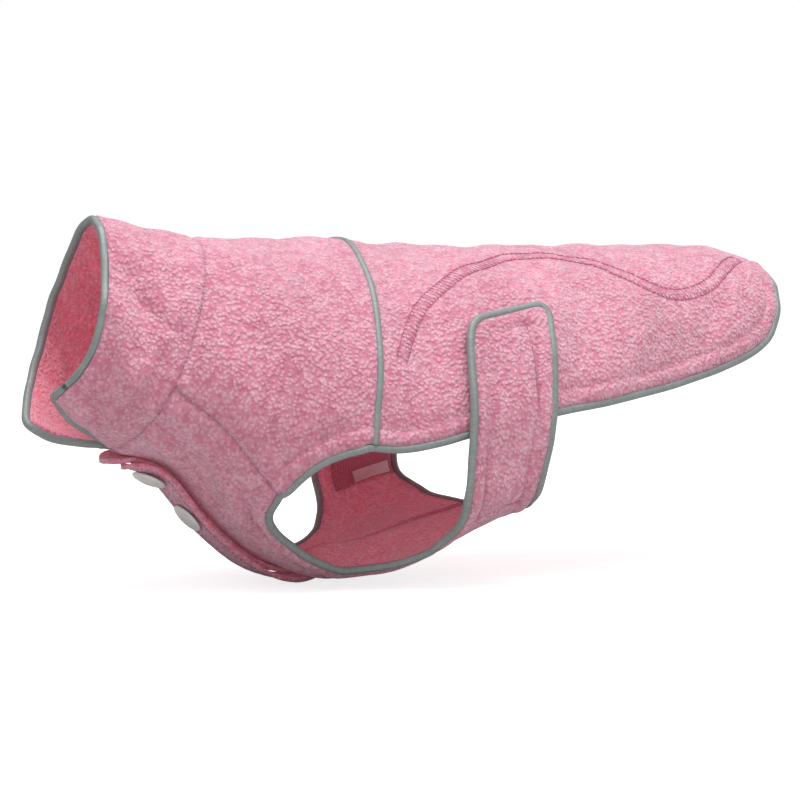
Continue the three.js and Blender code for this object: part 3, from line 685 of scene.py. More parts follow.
def new_group(name: str, inputs: dict[str, float], outputs: list[str]) -> bpy.types.NodeTree:
    """Make an empty shader group with a vector input, named number inputs and number outputs."""
    group = bpy.data.node_groups.new(name, "ShaderNodeTree")
    group.interface.new_socket("Vector", in_out="INPUT", socket_type="NodeSocketVector")
    for key, value in inputs.items():
        socket = group.interface.new_socket(key, in_out="INPUT", socket_type="NodeSocketFloat")
        socket.default_value = value
    for key in outputs:
        group.interface.new_socket(key, in_out="OUTPUT", socket_type="NodeSocketFloat")
    return group


def pebbled_nap() -> bpy.types.NodeTree:
    """Nap of polar fleece: rounded pebbles, finer fibres on them, and slow clouds of colour."""
    group = new_group("pebbled_nap", {"Pebble Scale": 560.0, "Fibre Scale": 1700.0},
                      ["Height", "Crest", "Cloud"])
    make = NodeBuilder(group)
    given = make.add("NodeGroupInput")
    vector = given.outputs["Vector"]
    bend = make.add("ShaderNodeTexNoise", {"noise_dimensions": "3D"}, Vector=vector, Scale=300.0, Detail=1.0)
    shift = make.add("ShaderNodeVectorMath", {"operation": "SCALE"}, i0=bend.outputs["Color"], Scale=0.0007)
    moved = make.add("ShaderNodeVectorMath", {"operation": "ADD"}, i0=vector, i1=shift.outputs[0])
    cell = make.add("ShaderNodeTexVoronoi", {"feature": "SMOOTH_F1"}, Vector=moved.outputs[0],
                    Scale=given.outputs["Pebble Scale"], Smoothness=0.3)
    crest = make.add("ShaderNodeMapRange", {"interpolation_type": "SMOOTHSTEP"},
                     Value=cell.outputs["Distance"], From_Min=0.78, From_Max=0.12)
    fibre = make.add("ShaderNodeTexNoise", {}, Vector=vector, Scale=given.outputs["Fibre Scale"], Detail=3.0,
                     Roughness=0.65)
    soft = make.add("ShaderNodeTexNoise", {}, Vector=vector, Scale=210.0, Detail=3.0, Roughness=0.55)
    fine = make.add("ShaderNodeMath", {"operation": "MULTIPLY"}, i0=fibre.outputs["Fac"], i1=0.45)
    broad = make.add("ShaderNodeMath", {"operation": "MULTIPLY"}, i0=soft.outputs["Fac"], i1=0.4)
    both = make.add("ShaderNodeMath", {"operation": "ADD"}, i0=fine.outputs[0], i1=broad.outputs[0])
    height = make.add("ShaderNodeMath", {"operation": "ADD"}, i0=crest.outputs[0], i1=both.outputs[0])
    # Crest share for the colour: the pebbles' crests plus slow random patches; the finish paints pit shade
    # where it is low.
    mixed = make.add("ShaderNodeMath", {"operation": "MULTIPLY_ADD"}, i0=soft.outputs["Fac"], i1=1.5,
                     i2=-0.62)
    high = make.add("ShaderNodeMath", {"operation": "MULTIPLY_ADD", "use_clamp": True},
                    i0=crest.outputs[0], i1=0.6, i2=mixed.outputs[0])
    cloud = make.add("ShaderNodeTexNoise", {}, Vector=vector, Scale=26.0, Detail=2.0)
    make.add("NodeGroupOutput", {}, Height=height.outputs[0], Crest=high.outputs[0],
             Cloud=cloud.outputs["Fac"])
    return group


def tape_weave() -> bpy.types.NodeTree:
    """Weave of a narrow tape: ribs across its length, a wave round it, and small flecks."""
    group = new_group("tape_weave", {"Rib Pitch": 0.9}, ["Height", "Fleck"])
    make = NodeBuilder(group)
    given = make.add("NodeGroupInput")
    parts = make.add("ShaderNodeSeparateXYZ", {}, Vector=given.outputs["Vector"])
    turns = make.add("ShaderNodeMath", {"operation": "DIVIDE"}, i0=parts.outputs["X"],
                     i1=given.outputs["Rib Pitch"])
    angle = make.add("ShaderNodeMath", {"operation": "MULTIPLY"}, i0=turns.outputs[0], i1=6.2832)
    wave = make.add("ShaderNodeMath", {"operation": "SINE"}, i0=angle.outputs[0])
    across = make.add("ShaderNodeMath", {"operation": "MULTIPLY"}, i0=parts.outputs["Y"], i1=113.1)
    cross = make.add("ShaderNodeMath", {"operation": "SINE"}, i0=across.outputs[0])
    woven = make.add("ShaderNodeMath", {"operation": "MULTIPLY"}, i0=wave.outputs[0], i1=cross.outputs[0])
    fleck = make.add("ShaderNodeTexNoise", {}, Vector=given.outputs["Vector"], Scale=1.4, Detail=3.0)
    total = make.add("ShaderNodeMath", {"operation": "MULTIPLY_ADD"}, i0=woven.outputs[0], i1=0.5,
                     i2=fleck.outputs["Fac"])
    make.add("NodeGroupOutput", {}, Height=total.outputs[0], Fleck=fleck.outputs["Fac"])
    return group


def new_material(name: str) -> tuple[bpy.types.Material, NodeBuilder, bpy.types.Node]:
    """Make a material with only its shader and output.

    Args:
        name: name of the finish.

    Returns:
        The material, a builder for its nodes, and its shader.
    """
    material = bpy.data.materials.new(name)
    material.use_nodes = True
    material.node_tree.nodes.clear()
    make = NodeBuilder(material.node_tree)
    shader = make.add("ShaderNodeBsdfPrincipled")
    make.add("ShaderNodeOutputMaterial", {}, Surface=shader.outputs["BSDF"])
    return material, make, shader


Colour = tuple[float, float, float, float]


@dataclass(frozen=True)
class FleeceFinish:
    """Pebbled polar fleece: light on its crests and deeper in between, partly random tone and partly painted
    shade in the pits; redder on its inner face, as painted shade and red bounce light, which also glows
    faintly as painted light.
    """

    name: str
    crest: Colour = (0.90, 0.52, 0.62, 1)
    # Painted shade: the darker colour in the pits between the pebbles.
    pit: Colour = (0.66, 0.23, 0.33, 1)
    # The inner face's redder colours are painted shade and red bounce light.
    inside_shaded_crest: Colour = (0.92, 0.37, 0.46, 1)
    inside_shaded_pit: Colour = (0.80, 0.20, 0.29, 1)
    # Colour of the painted shade in the ditches of seams, stitches and hem bands.
    groove_shade: Colour = (0.55, 0.14, 0.24, 1)
    bump: float = 0.85

    def build(self, nap: bpy.types.NodeTree) -> bpy.types.Material:
        """Make the material.

        Args:
            nap: the group for the nap.

        Returns:
            The material.
        """
        material, make, shader = new_material(self.name)
        place = make.add("ShaderNodeTexCoord")
        pile = make.add("ShaderNodeGroup", {"node_tree": nap}, Vector=place.outputs["Object"])
        inside = make.add("ShaderNodeAttribute", {"attribute_name": "inside"})
        groove_shade = make.add("ShaderNodeAttribute", {"attribute_name": "groove_shade"})

        def mixed(low: object, high: object, share: object) -> bpy.types.NodeSocket:
            node = make.add("ShaderNodeMix", {"data_type": "RGBA"}, i0=share, i6=low, i7=high)
            return node.outputs[2]

        # Lighter on the pebbles' crests, darker between them: partly random tone, partly painted shade in the
        # pits.
        outer = mixed(self.pit, self.crest, pile.outputs["Crest"])
        # Inner face: painted shade and red bounce light in its colours.
        inner = mixed(self.inside_shaded_pit, self.inside_shaded_crest, pile.outputs["Crest"])
        sides = mixed(outer, inner, inside.outputs["Fac"])
        tinted = make.add("ShaderNodeHueSaturation", {}, Color=sides)
        cloud = make.add("ShaderNodeMapRange", {}, Value=pile.outputs["Cloud"], From_Min=0.3, From_Max=0.7,
                         To_Min=0.93, To_Max=1.06)
        make.tree.links.new(cloud.outputs[0], tinted.inputs["Value"])
        # Painted shade in the ditches of seams, stitches and hem bands, at half the mask's strength.
        groove_shade_share = make.add("ShaderNodeMath", {"operation": "MULTIPLY"}, i0=groove_shade.outputs["Fac"], i1=0.5)
        colour = mixed(tinted.outputs[0], self.groove_shade, groove_shade_share.outputs[0])
        make.tree.links.new(colour, shader.inputs["Base Color"])
        bump = make.add("ShaderNodeBump", {}, Strength=self.bump, Distance=0.0011,
                        Height=pile.outputs["Height"])
        make.tree.links.new(bump.outputs[0], shader.inputs["Normal"])
        shader.inputs["Roughness"].default_value = 0.95
        shader.inputs["Specular IOR Level"].default_value = 0.12
        # Painted light: the inner face glows faintly in its own colour.
        glow = mixed((0, 0, 0, 1), inner, inside.outputs["Fac"])
        make.tree.links.new(glow, shader.inputs["Emission Color"])
        shader.inputs["Emission Strength"].default_value = 0.1
        shader.inputs["Sheen Weight"].default_value = 0.6
        shader.inputs["Sheen Roughness"].default_value = 0.4
        shader.inputs["Sheen Tint"].default_value = (1.0, 0.9, 0.95, 1)
        shader.inputs["Subsurface Weight"].default_value = 0.4
        shader.inputs["Subsurface Radius"].default_value = (1.0, 0.25, 0.35)
        shader.inputs["Subsurface Scale"].default_value = 0.004
        return material


@dataclass(frozen=True)
class TapeFinish:
    """Narrow woven tape with a satin face, such as the grey edge binding."""

    name: str
    light: Colour
    dark: Colour
    roughness: float
    metallic: float
    rib_pitch: float

    def build(self, weave: bpy.types.NodeTree) -> bpy.types.Material:
        """Make the material from the weave group."""
        material, make, shader = new_material(self.name)
        place = make.add("ShaderNodeTexCoord")
        woven = make.add("ShaderNodeGroup", {"node_tree": weave}, Vector=place.outputs["UV"],
                         Rib_Pitch=self.rib_pitch)
        share = make.add("ShaderNodeMapRange", {}, Value=woven.outputs["Height"], From_Min=0.15,
                         From_Max=0.95)
        colour = make.add("ShaderNodeMix", {"data_type": "RGBA"}, i0=share.outputs[0], i6=self.dark,
                          i7=self.light)
        make.tree.links.new(colour.outputs[2], shader.inputs["Base Color"])
        bump = make.add("ShaderNodeBump", {}, Strength=0.5, Distance=0.00015, Height=woven.outputs["Height"])
        make.tree.links.new(bump.outputs[0], shader.inputs["Normal"])
        shader.inputs["Roughness"].default_value = self.roughness
        shader.inputs["Metallic"].default_value = self.metallic
        return material


@dataclass(frozen=True)
class ThreadFinish:
    """Twisted sewing thread in a deeper pink than the cloth."""

    name: str = "pink_thread"
    light: Colour = (0.60, 0.13, 0.26, 1)
    dark: Colour = (0.40, 0.06, 0.15, 1)

    def build(self, weave: bpy.types.NodeTree) -> bpy.types.Material:
        """Make the material: the weave group at a fine pitch gives the twist."""
        material, make, shader = new_material(self.name)
        place = make.add("ShaderNodeTexCoord")
        twist = make.add("ShaderNodeGroup", {"node_tree": weave}, Vector=place.outputs["UV"], Rib_Pitch=0.5)
        colour = make.add("ShaderNodeMix", {"data_type": "RGBA"}, i0=twist.outputs["Height"], i6=self.dark,
                          i7=self.light)
        make.tree.links.new(colour.outputs[2], shader.inputs["Base Color"])
        shader.inputs["Roughness"].default_value = 0.6
        shader.inputs["Sheen Weight"].default_value = 0.2
        return material


@dataclass(frozen=True)
class MouldedFinish:
    """Moulded white plastic with faint marks in its gloss."""

    name: str = "white_plastic"
    light: Colour = (0.80, 0.79, 0.77, 1)
    dark: Colour = (0.66, 0.65, 0.63, 1)

    def build(self) -> bpy.types.Material:
        """Make the material."""
        material, make, shader = new_material(self.name)
        place = make.add("ShaderNodeTexCoord")
        marks = make.add("ShaderNodeTexNoise", {}, Vector=place.outputs["Object"], Scale=420.0, Detail=3.0)
        colour = make.add("ShaderNodeMix", {"data_type": "RGBA"}, i0=marks.outputs["Fac"], i6=self.dark,
                          i7=self.light)
        make.tree.links.new(colour.outputs[2], shader.inputs["Base Color"])
        gloss = make.add("ShaderNodeMapRange", {}, Value=marks.outputs["Fac"], To_Min=0.28, To_Max=0.46)
        make.tree.links.new(gloss.outputs[0], shader.inputs["Roughness"])
        return material


@dataclass(frozen=True)
class HookFinish:
    """Hook tape: close rows of small hooks, dyed pink."""

    name: str = "pink_hook_tape"
    light: Colour = (0.90, 0.36, 0.46, 1)
    dark: Colour = (0.66, 0.18, 0.27, 1)

    def build(self) -> bpy.types.Material:
        """Make the material: small cells 1.1 mm apart stand for the hooks."""
        material, make, shader = new_material(self.name)
        place = make.add("ShaderNodeTexCoord")
        hooks = make.add("ShaderNodeTexVoronoi", {}, Vector=place.outputs["UV"], Scale=0.95, Randomness=0.3)
        crest = make.add("ShaderNodeMapRange", {}, Value=hooks.outputs["Distance"], From_Min=0.55,
                         From_Max=0.1)
        colour = make.add("ShaderNodeMix", {"data_type": "RGBA"}, i0=crest.outputs[0], i6=self.dark,
                          i7=self.light)
        make.tree.links.new(colour.outputs[2], shader.inputs["Base Color"])
        bump = make.add("ShaderNodeBump", {}, Strength=0.8, Distance=0.0006, Height=crest.outputs[0])
        make.tree.links.new(bump.outputs[0], shader.inputs["Normal"])
        shader.inputs["Roughness"].default_value = 0.8
        return material


@dataclass
class Finishes:
    """Every material of the coat, built once."""

    fleece: bpy.types.Material = field(init=False)
    binding: bpy.types.Material = field(init=False)
    thread: bpy.types.Material = field(init=False)
    tone_thread: bpy.types.Material = field(init=False)
    label: bpy.types.Material = field(init=False)
    hooks: bpy.types.Material = field(init=False)
    plastic: bpy.types.Material = field(init=False)

    def __post_init__(self) -> None:
        """Build the groups and the materials."""
        weave = tape_weave()
        self.fleece = FleeceFinish("pink_fleece").build(pebbled_nap())
        self.binding = TapeFinish("grey_binding", (0.35, 0.385, 0.375, 1), (0.19, 0.215, 0.21, 1),
                                  0.42, 0.15, 0.9).build(weave)
        self.label = TapeFinish("blank_label_satin", (0.92, 0.84, 0.84, 1), (0.82, 0.70, 0.71, 1),
                                0.5, 0.0, 0.7).build(weave)
        self.thread = ThreadFinish().build(weave)
        self.tone_thread = ThreadFinish("matching_thread", (0.72, 0.27, 0.39, 1), (0.55, 0.15, 0.25, 1)).build(
            weave)
        self.hooks = HookFinish().build()
        self.plastic = MouldedFinish().build()


@dataclass
class ClothSheet:
    """The middle of a cloth piece: places, the surface they lie on, and faces between them."""

    surface: Surface
    places: Array
    quads: Array
    side: int = 0
    points: Array = field(init=False)
    normals: Array = field(init=False)

    def __post_init__(self) -> None:
        """Work out the points and normals, and face the faces outwards."""
        self.points = self.surface(*self.places.T)
        if self.side:
            edge = self.side * SEAM_TUCK
            self.points[:, 1] = self.side * np.maximum(self.side * self.points[:, 1], self.side * edge)
        self.normals = FIGURE.normal(self.surface, *self.places.T)
        self.quads = face_towards(self.points, self.quads, self.normals)

    def wall(self, lines: list[tuple[Relief, Array]], thickness: float = FLEECE, nap: float = 0.15,
             inner_lines: list[tuple[Relief, Array]] | None = None) -> MeshParts:
        """Close the sheet into a wall.

        Formula: the outer face is the middle plus half the thickness and the relief of every line;
        the inner face is the middle less half the thickness; open edges are joined.

        Args:
            lines: lines that shape the outer face, with their kinds.
            thickness: thickness of the cloth.
            nap: height of the lumps.
            inner_lines: lines that shape the inner face.

        Returns:
            The closed wall, with its inside values and the painted shade of its ditches.
        """
        count = len(self.points)
        outer, groove_shade = self._relief(lines)
        inner, inner_groove_shade = self._relief(inner_lines or [])
        outer = outer + nap * lumps(self.points, 2.4, 3) + 0.6 * nap * lumps(self.points, 4.6, 5)
        inner = inner + 0.8 * nap * lumps(self.points, 2.6, 7)
        points = np.vstack([self.points + self.normals * (thickness / 2 + outer)[:, None],
                            self.points - self.normals * (thickness / 2 + inner)[:, None]])
        start = self.quads.ravel()
        end = np.roll(self.quads, -1, axis=1).ravel()
        is_open = ~np.isin(start * count + end, end * count + start)
        a, b = start[is_open], end[is_open]
        rim = np.stack([b, a, a + count, b + count], axis=1)
        quads = np.vstack([self.quads, self.quads[:, ::-1] + count, rim])
        uv = np.tile(self.places * np.array([1, HALF_GIRTH]), (2, 1))
        inside = np.concatenate([np.zeros(count), np.ones(count)])
        return MeshParts(points, quads, uv,
                         {"inside": inside, "groove_shade": np.concatenate([groove_shade, inner_groove_shade])})

    def _relief(self, lines: list[tuple[Relief, Array]]) -> tuple[Array, Array]:
        """Add up the heights of the lines and keep the strongest painted shade of their ditches."""
        height, groove_shade = np.zeros(len(self.points)), np.zeros(len(self.points))
        for kind, line in lines:
            rise, dark = kind.shape(distance_to(self.points, resample(line, 500)))
            height, groove_shade = height + rise, np.maximum(groove_shade, dark)
        return height, groove_shade

    def area(self) -> float:
        """Area of the middle surface in square metres."""
        corner = self.points[self.quads]
        cross = np.cross(corner[:, 2] - corner[:, 0], corner[:, 3] - corner[:, 1])
        return float(np.linalg.norm(cross, axis=1).sum() / 2) * MM * MM


def grid_between(start: Array, end: Array, columns: int) -> Array:
    """Places on straight rows from one line of places to another, as rows by columns."""
    share = np.linspace(0, 1, columns + 1)[None, :, None]
    return start[:, None] + (end - start)[:, None] * share


def line_on(surface: Surface, places: Array, height: float) -> tuple[Array, Array]:
    """Points at a height over a surface, with the normals there."""
    normals = FIGURE.normal(surface, *places.T)
    return surface(*places.T) + normals * height, normals


def stitch_thread(points: Array, normals: Array, pitch: float, radius: float = 0.3,
                  dip: float = 0.5) -> MeshParts:
    """Run a thread along a line so that it goes in and out of the cloth.

    Formula: the height follows a wave of the length, flattened on top, so that dashes show.

    Args:
        points: the line, at the height of the cloth's face.
        normals: the cloth's normals.
        pitch: length of one stitch.
        radius: half the thread's thickness.
        dip: how far it goes in between stitches.

    Returns:
        The thread.
    """
    total = np.linalg.norm(np.diff(points, axis=0), axis=1).sum()
    count = max(8, int(total / pitch * 6))
    path, up = resample(points, count), unit(resample(normals, count))
    phase = np.arange(count + 1) / 6 * 2 * np.pi
    height = dip * np.clip(np.cos(phase) * 1.3, -1, 0.45)
    return sweep(path + up * height[:, None], up, oval(2 * radius, 2 * radius, 6))


@dataclass
class Seamwork:
    """Makes thread pieces on cloth."""

    finishes: Finishes

    def sew(self, name: str, parts: list[MeshParts]) -> bpy.types.Object:
        """Join threads into one named piece."""
        is_flatlock = name.startswith("flatlock")
        finish = self.finishes.thread if is_flatlock else self.finishes.tone_thread
        piece = join_parts(parts).to_object(name, finish)
        return piece


@dataclass
class Binding:
    """Grey tape folded round a cut edge."""

    width: float = 3.5
    thickness: float = 3.5
    offset: float = 1.5
    sides: int = 16

    def along(self, points: Array, normals: Array, way: int, passes: int = 8) -> MeshParts:
        """Fold the tape along an edge.

        Args:
            points: the cut edge.
            normals: the cloth's normals on it.
            way: +1 or -1, the open side of the edge.
            passes: how much its corners are rounded.

        Returns:
            The tape.
        """
        count = int(np.linalg.norm(np.diff(points, axis=0), axis=1).sum() / 1.1)
        path = soften(resample(points, count), passes)
        up = unit(soften(resample(normals, count), passes))
        across = unit(np.cross(unit(np.gradient(path, axis=0)), up)) * way
        return sweep(path + across * self.offset, up, oval(self.width, self.thickness, self.sides, 2.6))


@dataclass
class Collar:
    """Stand-up collar with a slit at the throat, bound round its rim and down both sides of the slit."""

    finishes: Finishes
    rows: int = 46
    columns: int = 176
    flat: tuple[float, float] = (0.0547, 0.211)

    def build(self) -> None:
        """Build the collar and its binding."""
        at = np.linspace(-SEAM_TUCK, -(COLLAR_HEIGHT - BOUND_INSET), self.rows + 1)
        turn = np.linspace(-SLIT_TURN, SLIT_TURN, self.columns + 1)
        places = np.stack(np.meshgrid(at, turn, indexing="ij"), axis=-1)
        ids = np.arange(places.shape[0] * places.shape[1]).reshape(places.shape[:2])
        sheet = ClothSheet(ON_FIGURE, places.reshape(-1, 2), grid_faces(ids))
        points = sheet.points.reshape(*places.shape[:2], 3)
        normals = sheet.normals.reshape(*places.shape[:2], 3)
        rim = np.vstack([points[:, 0], points[-1, 1:-1], points[::-1, -1]])
        rim_normals = np.vstack([normals[:, 0], normals[-1, 1:-1], normals[::-1, -1]])
        wall = sheet.wall([(Relief.SEAM, points[0]), (Relief.ROLLED_RIM, rim)],
                          inner_lines=[(Relief.ROLLED_RIM, rim)])
        collar = wall.to_object("collar_cloth", self.finishes.fleece)
        binding = Binding().along(rim, rim_normals, -1).to_object("collar_tape", self.finishes.binding)
        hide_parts("collar")
        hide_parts("collar_binding")
        LOG.info("collar flat area %.5f", sheet.area())
        sheet.area()


@dataclass
class BodyEdges:
    """Edges that the pieces of the body share, filled in as the pieces are built."""

    yoke: dict[int, tuple[Array, Array]] = field(default_factory=dict)
    hem: dict[int, tuple[Array, Array]] = field(default_factory=dict)


@dataclass
class Yoke:
    """Panel from the neck seam to the piping, over the back and down to the leg openings."""

    finishes: Finishes
    edges: BodyEdges
    seam_rows: int = 46
    leg_rows: int = 52
    half_columns: int = 84
    flat: tuple[float, float] = (0.073, 0.29)

    def build(self) -> None:
        """Build the yoke."""
        end_at = PIPING_AT - 1.2
        lines = {}
        for side in (-1, 1):
            seam = PatternEdge(CHEST_SEAM, side).places(self.seam_rows, SEAM_TUCK, -side)
            leg = PatternEdge(LEG_TOP, side).places(200, BOUND_INSET, -side, 0.1)
            seam[0] = (SEAM_TUCK, seam[0, 1])
            seam = seam[(seam[:, 0] > SEAM_TUCK) | (np.arange(len(seam)) == 0)]
            seam = resample(seam, self.seam_rows)
            leg = leg[leg[:, 0] < end_at - 0.2]
            leg = np.vstack([leg, (end_at, leg[-1, 1])]) * np.array([1, HALF_GIRTH])
            leg = resample(leg, self.leg_rows) / np.array([1, HALF_GIRTH])
            lines[side] = np.vstack([seam, leg])
        count = len(lines[1])
        ridge = np.stack([np.linspace(SEAM_TUCK, end_at, count), np.zeros(count)], axis=1)
        near = grid_between(lines[-1], ridge, self.half_columns)
        far = grid_between(ridge, lines[1], self.half_columns)
        places = np.concatenate([near, far[:, 1:]], axis=1)
        ids = np.arange(places.shape[0] * places.shape[1]).reshape(places.shape[:2])
        sheet = ClothSheet(ON_FIGURE, places.reshape(-1, 2), grid_faces(ids))
        points = sheet.points.reshape(*places.shape[:2], 3)
        normals = sheet.normals.reshape(*places.shape[:2], 3)
        cut = self.seam_rows
        relief = [(Relief.SEAM, points[0])]
        for side, column in ((-1, 0), (1, -1)):
            self.edges.yoke[side] = (points[cut:, column], normals[cut:, column])
            relief += [(Relief.SEAM, points[:cut + 1, column]), (Relief.HEM_BAND, points[cut + 1:, column])]
        yoke = sheet.wall(relief).to_object("yoke_cloth", self.finishes.fleece)
        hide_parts("yoke")
        LOG.info("yoke flat area %.5f", sheet.area())
        sheet.area()


@dataclass
class BackPanel:
    """Panel from the piping to the rounded tail, with a decorative flatlock seam on each side."""

    finishes: Finishes
    edges: BodyEdges
    rows: int = 220
    half_columns: int = 66
    stitch: float = 2.5
    flat: tuple[float, float] = (0.226, 0.24)

    def build(self) -> None:
        """Build the back panel and its flatlock seams."""
        start_at = PIPING_AT + 1.2
        hems = {}
        for side in (-1, 1):
            hem = PatternEdge(BACK_HEM, side).places(600, BOUND_INSET, -side)
            first = hem[0, 1]
            hem = hem[hem[:, 0] > start_at + 0.2]
            hem = np.vstack([(start_at, first), hem]) * np.array([1, HALF_GIRTH])
            hems[side] = resample(hem, self.rows) / np.array([1, HALF_GIRTH])
        tail_at = hems[-1][-1, 0]
        share = (hems[-1][:, 0] - start_at) / (tail_at - start_at)
        even = np.linspace(0, 1, self.rows + 1)
        ridge_at = start_at + (tail_at - start_at) * (share * 0.7 + even * 0.3)
        ridge = np.stack([ridge_at, np.zeros(self.rows + 1)], axis=1)
        near = grid_between(hems[-1], ridge, self.half_columns)
        far = grid_between(ridge, hems[1], self.half_columns)
        places = np.concatenate([near, far[:, 1:]], axis=1)
        ids = np.arange(places.shape[0] * places.shape[1]).reshape(places.shape[:2])
        sheet = ClothSheet(ON_FIGURE, places.reshape(-1, 2), grid_faces(ids))
        points = sheet.points.reshape(*places.shape[:2], 3)
        normals = sheet.normals.reshape(*places.shape[:2], 3)
        for side, column in ((-1, 0), (1, -1)):
            self.edges.hem[side] = (points[:, column], normals[:, column])
        hem_line = np.vstack([points[:, 0], points[-1, 1:-1], points[::-1, -1]])
        relief = [(Relief.HEM_BAND, hem_line)]
        for side in (-1, 1):
            places_on = PatternEdge(FLATLOCK, side).places(300)
            relief.append((Relief.FLATLOCK, ON_FIGURE(*places_on.T)))
        panel = sheet.wall(relief, inner_lines=[(Relief.STITCH, hem_line * 1.0)]).to_object(
            "back_panel_cloth", self.finishes.fleece)
        threads = [self._flatlock(side) for side in (-1, 1)]
        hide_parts("back_panel")
        LOG.info("back flat area %.5f", sheet.area())
        sheet.area()

    def _flatlock(self, side: int) -> bpy.types.Object:
        """Two rows of stitches with rungs between them, along the decorative seam."""
        edge = PatternEdge(FLATLOCK, side)
        rows = [edge.places(400, 2.9, way) for way in (-1, 1)]
        parts = []
        for places in rows:
            points, normals = line_on(ON_FIGURE, places, FLEECE / 2 - 0.02)
            parts.append(stitch_thread(points, normals, self.stitch, 0.19, 0.4))
        length = np.linalg.norm(np.diff(parts[0].points[::6], axis=0), axis=1).sum()
        count = int(length / self.stitch)
        low, high = (resample(line_on(ON_FIGURE, places, FLEECE / 2 + 0.05)[0], count) for places in rows)
        up = unit(resample(line_on(ON_FIGURE, edge.places(400), 0)[1], count))
        middle = (low + high) / 2 + up * 0.25
        rung = np.stack([low, middle, high], axis=1)
        rung[1::2] = rung[1::2, ::-1]
        parts.append(sweep(rung.reshape(-1, 3), np.repeat(up, 3, axis=0), oval(0.3, 0.3, 6)))
        return Seamwork(self.finishes).sew("flatlock_thread_near" if side < 0 else "flatlock_thread_far",
                                           parts)


@dataclass
class ShoulderPiping:
    """Grey piping over the back between the yoke and the back panel."""

    finishes: Finishes
    edges: BodyEdges
    width: float = 3.3
    thickness: float = 3.6

    def build(self) -> None:
        """Build the piping from one leg opening to the other."""
        reach = 0.479
        turn = np.linspace(-reach, reach, 220)
        places = np.stack([np.full_like(turn, PIPING_AT), turn], axis=1)
        points, normals = line_on(ON_FIGURE, places, 0.15)
        piping = sweep(points, normals, oval(self.width, self.thickness, 16, 2.4)).to_object(
            "shoulder_piping_tape", self.finishes.binding)
        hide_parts("shoulder_piping")


@dataclass
class ChestHalf:
    """One half of the chest and belly with its strap, bound along its free edges."""

    finishes: Finishes
    side: int
    seam_rows: int = 44
    leg_rows: int = 74
    strap_columns: int = 30
    strap_rows: int = 104
    columns: int = 60
    flat: tuple[float, float] = (0.175, 0.17)

    @property
    def name(self) -> str:
        """Name of the side."""
        return "near" if self.side < 0 else "far"

    def build(self) -> None:
        """Build the half, its binding and its stitches."""
        side = self.side
        scale = np.array([1, HALF_GIRTH])
        seam = PatternEdge(CHEST_SEAM, side).places(200, SEAM_TUCK, side)
        seam = np.vstack([(SEAM_TUCK, seam[0, 1]), seam[seam[:, 0] > 0.3]])
        seam = resample(seam * scale, self.seam_rows) / scale
        leg = PatternEdge(LEG_UNDER, side).places(300, BOUND_INSET, side, 0.06)
        front = PatternEdge(STRAP_FRONT, side, ON_STRAP).places(300, BOUND_INSET, side, 0.06)
        rear = PatternEdge(STRAP_REAR, side, ON_STRAP).places(300, BOUND_INSET, -side)
        leg = resample(leg * scale, self.leg_rows) / scale
        front = resample(np.vstack([leg[-1:], front]) * scale, self.strap_rows) / scale
        rear = resample(rear * scale, self.strap_rows) / scale
        strap = grid_between(front, rear, self.strap_columns)
        outer = np.vstack([seam, leg[:-1], strap[0]])
        count = len(outer)
        centre = np.stack([np.linspace(SEAM_TUCK, BELLY_REAR_AT - BOUND_INSET, count),
                           np.full(count, float(side))], axis=1)
        strip = grid_between(centre, outer, self.columns)
        ids = np.arange(count * (self.columns + 1)).reshape(count, self.columns + 1)
        corner = ids[-(self.strap_columns + 1):, -1]
        strap_ids = np.vstack([corner, ids.size + np.arange(self.strap_rows * (self.strap_columns + 1))
                               .reshape(self.strap_rows, self.strap_columns + 1)])
        places = np.vstack([strip.reshape(-1, 2), strap[1:].reshape(-1, 2)])
        normals = FIGURE.normal(ON_STRAP, *places.T)
        points = ON_STRAP(*places.T)
        quads = np.vstack([face_towards(points, grid_faces(g), normals) for g in (ids, strap_ids)])
        sheet = ClothSheet(ON_STRAP, places, quads, side)
        cut = self.seam_rows
        leg_ids = ids[cut:cut + self.leg_rows + 1, -1]
        path = np.concatenate([leg_ids, strap_ids[1:, 0], strap_ids[-1, 1:-1], strap_ids[::-1, -1],
                               ids[-1, ::-1][1:]])
        edge, edge_normals = sheet.points[path], sheet.normals[path]
        tape = rectangle_places(TAPE_AREA, side)
        relief = [(Relief.SEAM, sheet.points[ids[0]]), (Relief.SEAM, sheet.points[ids[:cut + 1, -1]]),
                  (Relief.HEM_BAND, edge), (Relief.SEAM, sheet.points[ids[:, 0]]),
                  (Relief.STITCH, ON_STRAP(*tape.T))]
        wall = sheet.wall(relief, inner_lines=[(Relief.STITCH, ON_STRAP(*tape.T)),
                                               (Relief.STITCH, sheet.points[ids[:, 0]])])
        chest = wall.to_object(f"chest_cloth_{self.name}", self.finishes.fleece)
        binding = Binding().along(edge, edge_normals, side).to_object(
            f"strap_tape_{self.name}", self.finishes.binding)
        threads = self._threads(tape)
        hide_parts(f"chest_and_strap_{self.name}")
        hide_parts(f"strap_binding_{self.name}")
        LOG.info("chest %s flat area %.5f", self.name, sheet.area())
        sheet.area()

    def _threads(self, tape: Array) -> bpy.types.Object:
        """Stitches round the tape on both faces, and one row beside the belly's centre seam."""
        parts = []
        for height in (FLEECE / 2 - 0.5, -FLEECE / 2 + 0.1):
            points, normals = line_on(ON_STRAP, tape, height)
            parts.append(stitch_thread(points, normals, 2.4, 0.24, 0.35))
        at = np.linspace(62, 139, 200)
        places = np.stack([at, self.side * (1 - 1.2 / HALF_GIRTH) * np.ones_like(at)], axis=1)
        points, normals = line_on(ON_STRAP, places, -FLEECE / 2 - 0.02)
        points[:, 1] = self.side * 1.5
        parts.append(stitch_thread(points, -normals, 2.4, 0.24, 0.35))
        return Seamwork(self.finishes).sew(f"strap_thread_{self.name}", parts)


